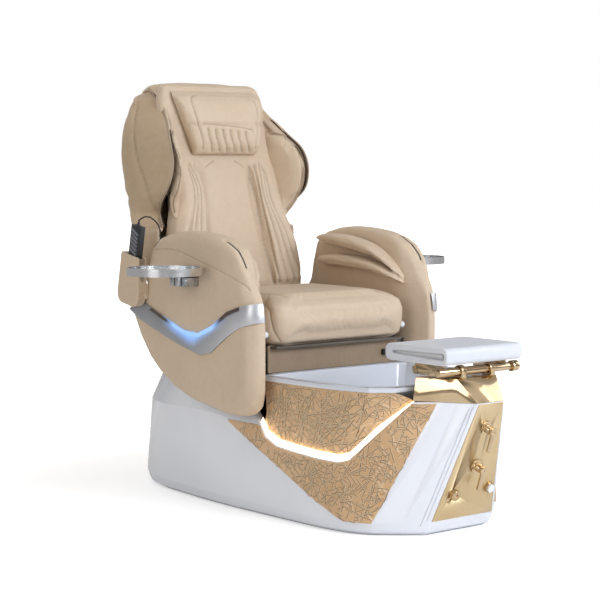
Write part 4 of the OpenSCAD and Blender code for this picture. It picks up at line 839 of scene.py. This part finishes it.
def strokes(name, node, count, seed, length, bend, radius, body):
    """Random curved strokes over the panel at negative x, mirrored onto the other one."""
    rng = random.Random(seed)
    mesh = NODES[node].data
    tree = tree_of(mesh)
    mesh.calc_loop_triangles()
    co = coords(mesh)
    tris = [t.vertices[:] for t in mesh.loop_triangles if t.normal.x < OUTWARD]
    weights = [np.linalg.norm(np.cross(co[b] - co[a], co[c] - co[a])) for a, b, c in tris]
    picks = rng.choices(range(len(tris)), weights, k=count)
    runs = []
    for k in picks:
        a, b, c = (Vector(co[i]) for i in tris[k])
        u, v = rng.random(), rng.random()
        if u + v > 1:
            u, v = 1 - u, 1 - v
        start = a + (b - a) * u + (c - a) * v
        angle = rng.uniform(0, math.pi)
        turn = rng.uniform(-bend, bend)
        total = rng.uniform(*length)
        halves = []
        for way in (1, -1):
            no = tree.find_nearest(start)[1]
            ex = Vector((0, 0, 1)).cross(no).normalized()
            ey = no.cross(ex)
            p, w, half = start.copy(), angle, []
            for _ in range(int(total / 2 / STEP)):
                q = p + way * STEP * (ex * math.cos(w) + ey * math.sin(w))
                hit, hn, _, d = tree.find_nearest(q)
                if d > OFF or hn.x > OUTWARD:
                    break
                p = hit
                w += turn * STEP * way
                half.append((hit - hn * radius * 0.25, hn))
            halves.append(half)
        run = list(reversed(halves[1])) + [(start - no * radius * 0.25, no)] + halves[0]
        if len(run) > 4:
            runs.append(run)
    runs += [[(flip(p), flip(n)) for p, n in run] for run in runs]
    tubes(name, runs, radius, body, TAN_RIDGE, sides=6, flat=0.8)
    # a thinner dark tube beside each stroke, on its lower side: painted shadow
    folds_and_shadow_lines = []
    for run in runs:
        side = (run[-1][0] - run[0][0]).cross(run[len(run) // 2][1]).normalized()
        side = -side if side.z > 0 else side
        folds_and_shadow_lines.append([(p + side * radius * 1.05 + no * radius * 0.12, no) for p, no in run])
    tubes(f"{name}_folds", folds_and_shadow_lines, radius * 0.62, body, TAN_SHADOW_LINE, sides=5, flat=0.8)


def turned(name, places, profile, body, material, cut=0.0):
    """Turned heads: rings of (radius, height) round each (centre, axis), slotted to the depth cut."""
    sides = 20
    verts, faces = [], []
    for centre, axis in places:
        axis = Vector(axis).normalized()
        ex = axis.orthogonal().normalized()
        ey = axis.cross(ex)
        base = len(verts)
        for r, h in profile:
            for k in range(sides):
                w = 2 * math.pi * k / sides
                deep = cut if r < 0.6 * profile[0][0] and k % (sides // 2) < 3 else 0.0
                verts.append(Vector(centre) + axis * (h - deep) + (ex * math.cos(w) + ey * math.sin(w)) * r)
        faces += wrapped(base, len(profile), sides, True)
    return piece(name, mesh_of(name, verts, faces), body, material)


def blocks(name, boxes, body, material, width=0.002):
    """Blocks with rounded edges: (centre, size)."""
    bm = bmesh.new()
    for centre, size in boxes:
        for v in bmesh.ops.create_cube(bm, size=1.0)["verts"]:
            v.co = Vector(centre) + Vector([a * b for a, b in zip(v.co, size)])
    bmesh.ops.bevel(bm, geom=bm.edges[:], offset=width, segments=3, profile=0.5, affect="EDGES")
    mesh = bpy.data.meshes.new(name)
    bm.to_mesh(mesh)
    bm.free()
    return piece(name, mesh, body, material, smooth=False)


# The back's own frame: its recline at rest, and the (y, z) where heights along it start
RECLINE = math.radians(14)
BACK_Y, BACK_Z = 0.265, 0.6


def in_back(x, y, h):
    return Vector((x, BACK_Y + y * math.cos(RECLINE) + h * math.sin(RECLINE),
                   BACK_Z - y * math.sin(RECLINE) + h * math.cos(RECLINE)))


def lower_foot(mesh, high, low, drop):
    """Stretches the part below the height high downwards along the back; at low it moves by drop."""
    co = coords(mesh)
    h = (co[:, 1] - BACK_Y) * math.sin(RECLINE) + (co[:, 2] - BACK_Z) * math.cos(RECLINE)
    f = np.clip((high - h) / (high - low), 0, 1) ** 2 * drop
    co[:, 1] -= f * math.sin(RECLINE)
    co[:, 2] -= f * math.cos(RECLINE)
    place(mesh, co)


# Back cushion: the edge of its middle panel and four channels, read on the far half and mirrored
PANEL = [(250, 166), (250.5, 176), (253, 187), (258, 210), (263, 232), (268, 256), (273.5, 283)]
CHANNELS = [[(255, 164), (258, 184), (264, 214), (271, 246), (280.5, 283)],
            [(259.5, 163), (263.5, 188), (272, 218), (280.5, 247), (288.5, 282.5)],
            [(262, 165), (268, 194), (279.5, 225), (287.5, 250), (295.5, 281.5)],
            [(264, 168), (272.5, 200), (286.5, 230), (294.5, 253), (302, 280)]]
PATCH = [(235, 161), (240, 164), (247, 169), (250.5, 173)]
m = remeshed(cad("back_cushion"), 0.006, 8)
lower_foot(m, 0.3, 0.115, 0.026)
m = finer(m)
tree = tree_of(m)
runs = [run for pixels in [PANEL, *CHANNELS] for run in both_sides(tree, pixels)]
pressed(m, runs[2:], 0.002, 0.003, 0.0065, 0.0095)
pressed(m, runs[:2], 0.004, 0.004, 0.012, 0.018)
seam("back_patch", m, BACK, both_sides(tree, PATCH), 0.003, 0.0035, 0.001, 0.01, 0.003)
back = piece("back_cushion_leather", m, BACK, LEATHER, ["back_cushion"])

# Pillow: a pleat is (u, v, how far each pleat lies below the one before)
PILLOW_BORDER = [(203, 149), (203.5, 143), (200, 130), (195, 112), (191.5, 98), (194, 90)]
PILLOW_STITCH = [(204, 124), (215, 124.3), (228, 125.5), (241, 127), (252, 129.5)]
PLEAT = [(209.3, 128.5, 0.7), (210.4, 137, 0.3), (212.5, 152, 0.1)]
PLEATS, PLEAT_STEP = 6, 7.4
m = remeshed(cad("head_pillow"), 0.005, 8)
m = finer(inflated(m, 3, 0.006))
tree = tree_of(m)
border = both_sides(tree, PILLOW_BORDER)
stitch = laid(tree, seen_at(tree, PILLOW_STITCH))
pleats = [seen_at(tree, [(u + PLEAT_STEP * k, v + drop * k) for u, v, drop in PLEAT]) for k in range(PLEATS)]
pressed(m, [laid(tree, p) for p in pleats], 0.003, 0.0035, 0.0055, 0.010)
seam("pillow_border", m, "pillow", border, 0.003, 0.0032, 0.004, 0.012, 0.004)
seam("pillow_stitch", m, "pillow", [stitch], 0.003, 0.003, 0.003, 0.01, 0.0)
pillow = piece("pillow_leather", m, "pillow", LEATHER, ["head_pillow"])

# Seat cushion
SEAT_CROSS = [(257, 292), (268, 293.5), (286, 296)]
SEAT_FLANK = [(264, 303), (268.5, 310), (270.5, 320), (273, 330), (280, 342)]
m = remeshed(cad("seat_cushion"), 0.006, 8)
m = finer(inflated(m, 4, 0.012, 0.004))
tree = tree_of(m)
cross = both_sides(tree, SEAT_CROSS)
seam("seat_flank", m, "seat", both_sides(tree, SEAT_FLANK), 0.0035, 0.0035, 0.004, 0.016, 0.004)
seam("seat_cross", m, "seat", cross, 0.003, 0.0035, 0.003, 0.02, 0.0)
seat = piece("seat_leather", m, "seat", LEATHER, ["seat_cushion"])

# Armrests with their pads; the lines are (y, z) on a plane of constant x
ARM_SEAM = [(0.261, 0.848), (0.13, 0.849), (-0.008, 0.816), (-0.141, 0.783), (-0.262, 0.742)]
PAD_EDGE = [(-0.105, 0.875), (-0.16, 0.866), (-0.20, 0.857), (-0.228, 0.843), (-0.236, 0.826),
            (-0.228, 0.812)]
ARM_REAR = [(0.325, 0.72), (0.318, 0.774), (0.305, 0.843), (0.246, 0.892), (0.205, 0.905)]
for name, sign, pads in (("arm_right", -1, "arm_pads_right"), ("arm_left", 1, "arm_pads_left")):
    m = remeshed(cad(name), 0.0065, 10)
    co = coords(m)
    # the inner side of the front end lies further back than the outer side
    inner = np.clip((0.406 - np.abs(co[:, 0])) / 0.05, 0, 1)
    front = np.clip((-0.03 - co[:, 1]) / 0.25, 0, 1)
    high = np.clip((co[:, 2] - 0.68) / 0.09, 0, 1)
    co[:, 1] += 0.032 * inner * front ** 1.5 * high
    place(m, co)
    m = finer(m)
    tree = tree_of(m)
    over = laid(tree, [(sign * 0.38, y, z) for y, z in PAD_EDGE])
    pressed(m, [over], 0.005, 0.003, 0.006, 0.012)
    tree = tree_of(m)
    path = laid(tree, [(sign * 0.412, y, z) for y, z in ARM_SEAM])
    seam(f"{name}_seam", m, "seat", [path], 0.0025, 0.003, 0.003, 0.02, 0.0045)
    arm = piece(f"{name}_leather", m, "seat", LEATHER, [name])
    tree = tree_of(m)
    rear = laid(tree, [(sign * 0.395, y, z) for y, z in ARM_REAR], 0.001)
    rear = [(p - no * 0.001, no) for p, no in rear[1:-1]]
    tubes(f"{name}_piping", [rear], 0.0032, "seat", DARK_PIPING)
    # a dark cord sunk in the groove under the pad's edge: painted shade
    tubes(f"{name}_pad_edge", [[(p - no * 0.008, no) for p, no in over]], 0.0028, "seat", DARK_PIPING)
    m = remeshed(cad(pads), 0.005, 4)
    co = coords(m)
    front = np.clip((-0.02 - co[:, 1]) / 0.22, 0, 1)
    rear = np.clip((co[:, 1] - 0.1) / 0.14, 0, 1)
    co[:, 1] += 0.036 * front - 0.016 * rear
    co[:, 0] += sign * 0.014 * front
    co[:, 2] -= 0.006 * rear
    place(m, co)
    m = finer(inflated(m, 4, 0.007, 0.002))
    leaf = piece(f"{pads}_leather", m, "seat", LEATHER, [pads])

# Back casing: one moulded shell with side walls; (u, v, distance from the middle plane)
FRONT_EDGE = [(145, 84, 0.215), (155, 97, 0.215), (161, 108, 0.222), (167, 120, 0.242), (169, 133, 0.266),
              (171, 146, 0.29), (173, 160, 0.299), (172, 175, 0.304), (167, 190, 0.308), (161, 203, 0.298),
              (160, 215, 0.278), (163, 228, 0.284)]
REAR_EDGE = [(143.5, 85, 0.222), (135, 97, 0.25), (130, 108, 0.268), (126, 120, 0.29), (123, 133, 0.308),
             (122, 146, 0.32), (122, 160, 0.328), (124, 175, 0.333), (126, 190, 0.337), (129, 203, 0.337),
             (131, 215, 0.337), (133, 228, 0.335)]
CASING_SEAM = [(143, 93), (137, 105), (134.5, 120), (134, 135), (135.5, 150), (140, 168), (147, 188),
               (155, 208), (159, 222)]
# below what the photograph shows: (height along the back, front x and y, rear x and y)
LOWER_ROWS = ((0.33, 0.3, 0.03, 0.333, 0.1415), (0.25, 0.304, 0.052, 0.322, 0.143),
              (0.16, 0.296, 0.06, 0.3, 0.142), (0.095, 0.284, 0.064, 0.275, 0.134))
SEAM_X, SEAM_Y = 0.19, 0.19
SEAM_HEIGHTS = (0.76, 0.65, 0.5, 0.35, 0.2, 0.12)
YOKE = ((-0.29, 0.6), (-SEAM_X, 0.615), (0, 0.62), (SEAM_X, 0.615), (0.29, 0.6))
edge, rear_edge = ([at_plane(u, v, -x) for u, v, x in outline] for outline in (FRONT_EDGE, REAR_EDGE))
rows = list(zip(edge, rear_edge))
rows[0] = tuple(p + Vector((0.012, -0.006, -0.013)) for p in rows[0])
for h, fx, fy, rx, ry in LOWER_ROWS:
    rows.append((in_back(-fx, fy, h), in_back(-rx, ry, h)))
grid = []
for k, (f, r) in enumerate(rows):
    full = min(1, k / 3)  # the walls bulge less towards the top
    m1 = f.lerp(r, 0.35) + Vector((-0.012 * full, 0, 0))
    m2 = f.lerp(r, 0.75) + Vector((-0.018 * full, 0, 0))
    b1 = Vector((0.62 * r.x, r.y + 0.020 * full, r.z + 0.004))
    b0 = Vector((0, r.y + 0.026 * full, r.z + 0.006))
    half = [f, m1, m2, r, b1]
    grid.append(half + [b0] + mirror(reversed(half)))
m = thick(net(grid, 75, 76), 0.013, -1, True)
tree = tree_of(m)
seam("casing_seam", m, BACK, both_sides(tree, CASING_SEAM), 0.003, 0.003, 0.002, 0.014, 0.0)
lines = [[in_back(x, SEAM_Y, h) for h in SEAM_HEIGHTS] for x in (-SEAM_X, SEAM_X)]
lines.append([in_back(x, SEAM_Y, h) for x, h in YOKE])
rear = [laid(tree, line) for line in lines]
seam("casing_back", m, BACK, rear, 0.004, 0.003, 0.004, 0.025, 0.005)
casing = piece("back_casing_leather", m, BACK, LEATHER_DARK, ["back_shell", "side_wings"])
CORNER = 7  # points of the edge that lie under the top flap
edge = curve(edge)
outward = Vector((-0.8, -0.6, 0))
runs = [[(p, outward) for p in edge[CORNER:]], [(flip(p), flip(outward)) for p in edge[CORNER:]]]
tubes("casing_piping", runs, 0.003, BACK, PIPING)
# a dark tube just inside the piping: painted shadow between the casing's edge and the wing
runs = [[(p + Vector((-0.007 if p.x > 0 else 0.007, 0.002, 0)), no) for p, no in run] for run in runs]
tubes("casing_gap", runs, 0.0038, BACK, SHADOW)
# a lining behind the edge's upper part
LINED = (1.2, 1.385)
verts, faces = [], []
for sign in (-1, 1):
    for i, p in enumerate([q for q in edge if LINED[0] < q.z < LINED[1]]):
        base = len(verts)
        verts += [Vector((sign * -p.x, p.y + 0.004, p.z)), Vector((sign * (-p.x - 0.018), p.y + 0.012, p.z)),
                  Vector((sign * (-p.x - 0.036), p.y + 0.03, p.z))]
        if i:
            faces += [(base - 3 + k, base - 2 + k, base + 1 + k, base + k) for k in (0, 1)]
m = worked(mesh_of("lining", verts, faces), [("SOLIDIFY", {"thickness": 0.002, "offset": 0})])
piece("casing_lining", m, BACK, LEATHER_DARK)

# Side wings: half discs from the edge of the cushion out to the casing's rim
ROOT = [(261, 131, 0.208), (263, 150, 0.212), (266, 172, 0.218), (273, 195, 0.222), (284, 215, 0.236)]
FREE = [(266, 130, 0.21), (276, 131, 0.23), (287, 137, 0.248), (296, 147, 0.262), (303, 160, 0.271),
        (305, 173, 0.276), (303, 188, 0.278), (297, 201, 0.275), (288.5, 213, 0.254), (285, 216.5, 0.238)]
WING_SEAM = [(269, 134), (279, 134.5), (289, 140.5), (296.5, 150), (301, 162), (302, 174), (300, 187),
             (294.5, 199), (287, 209)]
WING_U, WING_V = 284, 173  # its middle
ALONG, ROUND = 60, 34
root, free = (spread([at_plane(*q) for q in line], ALONG) for line in (ROOT, FREE))
verts = []
for i, (p, q) in enumerate(zip(root, free)):
    down = (root[min(ALONG - 1, i + 1)] - root[max(0, i - 1)]).normalized()
    no = (q - p).cross(down)
    no = no.normalized() if no.length > 1e-6 else Vector((-0.6, -0.8, 0))
    if no.y > 0:
        no = -no
    swell = max(0, math.sin(math.pi * i / (ALONG - 1))) ** 0.5
    for k in range(ROUND):
        w = 2 * math.pi * k / ROUND
        t = 0.5 + 0.5 * math.cos(w)
        off = math.sin(w)
        off = math.copysign(abs(off) ** 0.7, off)
        half_thick = (0.016 if off > 0 else 0.013) * (0.35 + 0.65 * swell)
        verts.append(p.lerp(q, t) + no * (off * half_thick - 0.004))
m = remeshed(both(mesh_of("wing", verts, wrapped(0, ALONG, ROUND))), 0.0045, 5)
m = finer(inflated(m, 4, 0.006, 0.001))
tree = tree_of(m)
pressed(m, both_sides(tree, WING_SEAM), 0.004, 0.0035, 0.002, 0.01)
pads = piece("wing_pads_leather", m, BACK, LEATHER, ["wing_pads"])
tree = tree_of(m)
line = [(u + 0.08 * (u - WING_U), v + 0.05 * (v - WING_V)) for u, v in WING_SEAM]
tubes("wing_piping", both_sides(tree, line, 0.001), 0.0028, BACK, PIPING)

# Gusset above each wing
GUSSET_ROOT = [(256, 101, 0.205), (259, 112, 0.206), (261, 122, 0.207), (262, 136, 0.209)]
GUSSET_EDGE = [(261, 106, 0.222), (273, 117, 0.24), (283, 126.5, 0.256), (292, 137, 0.272)]
rows = []
for a, b in zip(GUSSET_ROOT, GUSSET_EDGE):
    p, q = at_plane(*a), at_plane(*b) + Vector((-0.007, 0.008, 0))
    rows.append([p + Vector((-0.012, 0.004, 0)), p.lerp(q, 0.35) + Vector((0, 0.004, 0)),
                 p.lerp(q, 0.7) + Vector((0, 0.002, 0)), q])
m = both(thick(net(rows, 14, 20), 0.008))
piece("wing_gussets_leather", m, BACK, LEATHER)

# Flap over the top of the back: rows of (half width, y, z) from its front hem to its rear hem
FLAP = ((0.182, 0.48, 1.25), (0.192, 0.462, 1.295), (0.204, 0.462, 1.335), (0.212, 0.484, 1.373),
        (0.214, 0.516, 1.4), (0.215, 0.548, 1.414), (0.215, 0.585, 1.41), (0.212, 0.606, 1.386),
        (0.208, 0.612, 1.35))
rows = []
for x, y, z in FLAP:
    crown = min(1, max(0, (z - 1.3) / 0.1)) * 0.008
    bow = -0.008 + 0.019 * min(1, max(0, (y - 0.57) / 0.04))
    half = [Vector((-x, y + 0.010, z - 0.012 - crown)), Vector((-x + 0.014, y + 0.001, z - 0.004)),
            Vector((-0.165, y + 0.6 * bow, z + 0.3 * crown)), Vector((-0.08, y + bow, z + crown))]
    rows.append(half + [Vector((0, y + bow, z + crown))] + mirror(reversed(half)))
m = thick(net(rows, 61, 50), 0.012, -1)
flap = piece("top_flap_leather", m, BACK, LEATHER)

# Leather that crosses the joints: the pillow's hinge and the web behind the seat
HINGE = ((0.4945, 1.391), (0.482, 1.3905), (0.469, 1.3885), (0.4585, 1.3845), (0.449, 1.378), (0.440, 1.369))
WEB = ((0.238, 0.606), (0.262, 0.612), (0.287, 0.624), (0.306, 0.645), (0.317, 0.668), (0.322, 0.69))
bridge("pillow_hinge_leather", 0.19, HINGE, LEATHER)
bridge("seat_web_leather", 0.215, WEB, LEATHER_DARK)

# Footrest pad and apron, a little larger than in the CAD, and the remote control's pocket
PAD_Y, WIDER = -0.758, 1.05  # the pad's middle and its growth
m = remeshed(cad("footrest_pad"), 0.004, 3)
co = coords(m)
co[:, 0] *= WIDER
co[:, 1] = PAD_Y + (co[:, 1] - PAD_Y) * WIDER
place(m, co)
foot = piece("footrest_leather", finer(m), "footrest", WHITE_LEATHER, ["footrest_pad"])
APRON_Z, APRON_WIDER, APRON_HIGHER = 0.503, 1.063, 0.011  # mid-height, growth sideways, growth up and down
m = remeshed(cad("seat_apron"), 0.005, 3)
co = coords(m)
co[:, 0] *= APRON_WIDER
co[:, 2] += np.where(co[:, 2] > APRON_Z, APRON_HIGHER, -APRON_HIGHER)
place(m, co)
apron = piece("apron_leather", finer(m), "seat", APRON, ["seat_apron"])
POCKET_FRONT = 0.283
m = remeshed(cad("remote_pocket"), 0.0025, 3)
co = coords(m)
co[:, 1] = np.maximum(co[:, 1], POCKET_FRONT)
place(m, co)
pocket = piece("pocket_leather", finer(m), "seat", LEATHER, ["remote_pocket"])

# Embossed strokes on the tan panels: ridges painted lighter as a highlight, each with a dark tube on its
# lower side as painted shadow
strokes("panel_strokes", "side_panels", 800, 5, (0.03, 0.07), 2.0, 0.0017, "base")
strokes("skirt_strokes", "basin_skirts", 360, 11, (0.06, 0.22), 6.0, 0.0019, "base")

# Small fittings: screws and caps as (radius, height)
HEAD = [(0.0068, 0.0), (0.0068, 0.0016), (0.0056, 0.0032), (0.0036, 0.0038), (0.003, 0.003),
        (0.001, 0.0028)]
CAP = [(0.011, 0.0), (0.011, 0.003), (0.0095, 0.007), (0.006, 0.0095), (0.002, 0.0103)]
SCREW_X, SCREW_YS, ABOVE_TRAYS = 0.482, (0.02, 0.074), 0.9
BOLT_CAP, BOLT_Y = (265, 335), -0.203
CLIPS, CLIP_Y = ((389, 336, (0.046, 0.014, 0.024)), (386, 351.5, (0.034, 0.014, 0.020))), -0.206
BEADS = [[(474, 407), (463, 434), (451, 463), (439, 492), (427, 521)],
         [(470, 408), (458, 437), (445, 468), (433, 497), (420, 527)]]
for side, body, node in ((-1, "right_tray", "tray_ring_right"), (1, "left_tray", "tray_ring_left")):
    tree = tree_of(NODES[node].data)
    spots = []
    for y in SCREW_YS:
        hit = tree.ray_cast(Vector((side * SCREW_X, y, ABOVE_TRAYS)), Vector((0, 0, -1)))[0]
        if hit:
            spots.append((hit, (0, 0, 1)))
    turned(f"{node}_screws", spots, HEAD, body, CHROME, cut=0.001)
spot = at_plane(*BOLT_CAP, BOLT_Y, 1)
spots = [(p, (0, -1, 0)) for p in (spot, flip(spot))]
turned("seat_bolt_caps", spots, CAP, "seat", WHITE_PLASTIC)
clips = []
for u, v, size in CLIPS:
    c = at_plane(u, v, CLIP_Y, 1)
    clips += [(c, size), (c + Vector((0.012, -0.006, -0.004)), (0.012, 0.008, 0.012))]
blocks("seat_clips", clips, "seat", BLACK_STEEL)
linings = [((s * 0.142, -0.757, 0.5585), (0.014, 0.205, 0.015)) for s in (-1, 1)]
blocks("footrest_slot_linings", linings, "footrest", WHITE_LEATHER, 0.004)
tree = tree_of(NODES["base_shell"].data)
runs = [run for bead in BEADS for run in both_sides(tree, bead, -0.0004)]
tubes("pod_beads", runs, 0.0022, "base", WHITE)

# Remote control's cable, from its strain relief round to the gland on the armrest's edge
CORD = [(-0.4393, 0.3008, 0.9358), (-0.4393, 0.2993, 0.9437), (-0.438, 0.288, 0.95), (-0.433, 0.272, 0.957),
        (-0.424, 0.256, 0.955), (-0.411, 0.248, 0.944), (-0.395, 0.25, 0.928), (-0.38, 0.262, 0.912),
        (-0.37, 0.275, 0.899), (-0.365, 0.283, 0.889), (-0.364, 0.2802, 0.8817), (-0.364, 0.2757, 0.875)]
cord_data = bpy.data.curves.new("cable", "CURVE")
cord_data.dimensions = "3D"
cord_data.bevel_depth = 0.0025
cord_data.bevel_resolution = 6
cord_data.resolution_u = 8
cord_data.use_fill_caps = True
line = cord_data.splines.new("POLY")
line.points.add(len(CORD) - 1)
for p, c in zip(line.points, CORD):
    p.co = (*c, 1)
cable = added("cable", cord_data)
cord_data.materials.append(RUBBER)
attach(cable, "seat")
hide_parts("remote_cord")
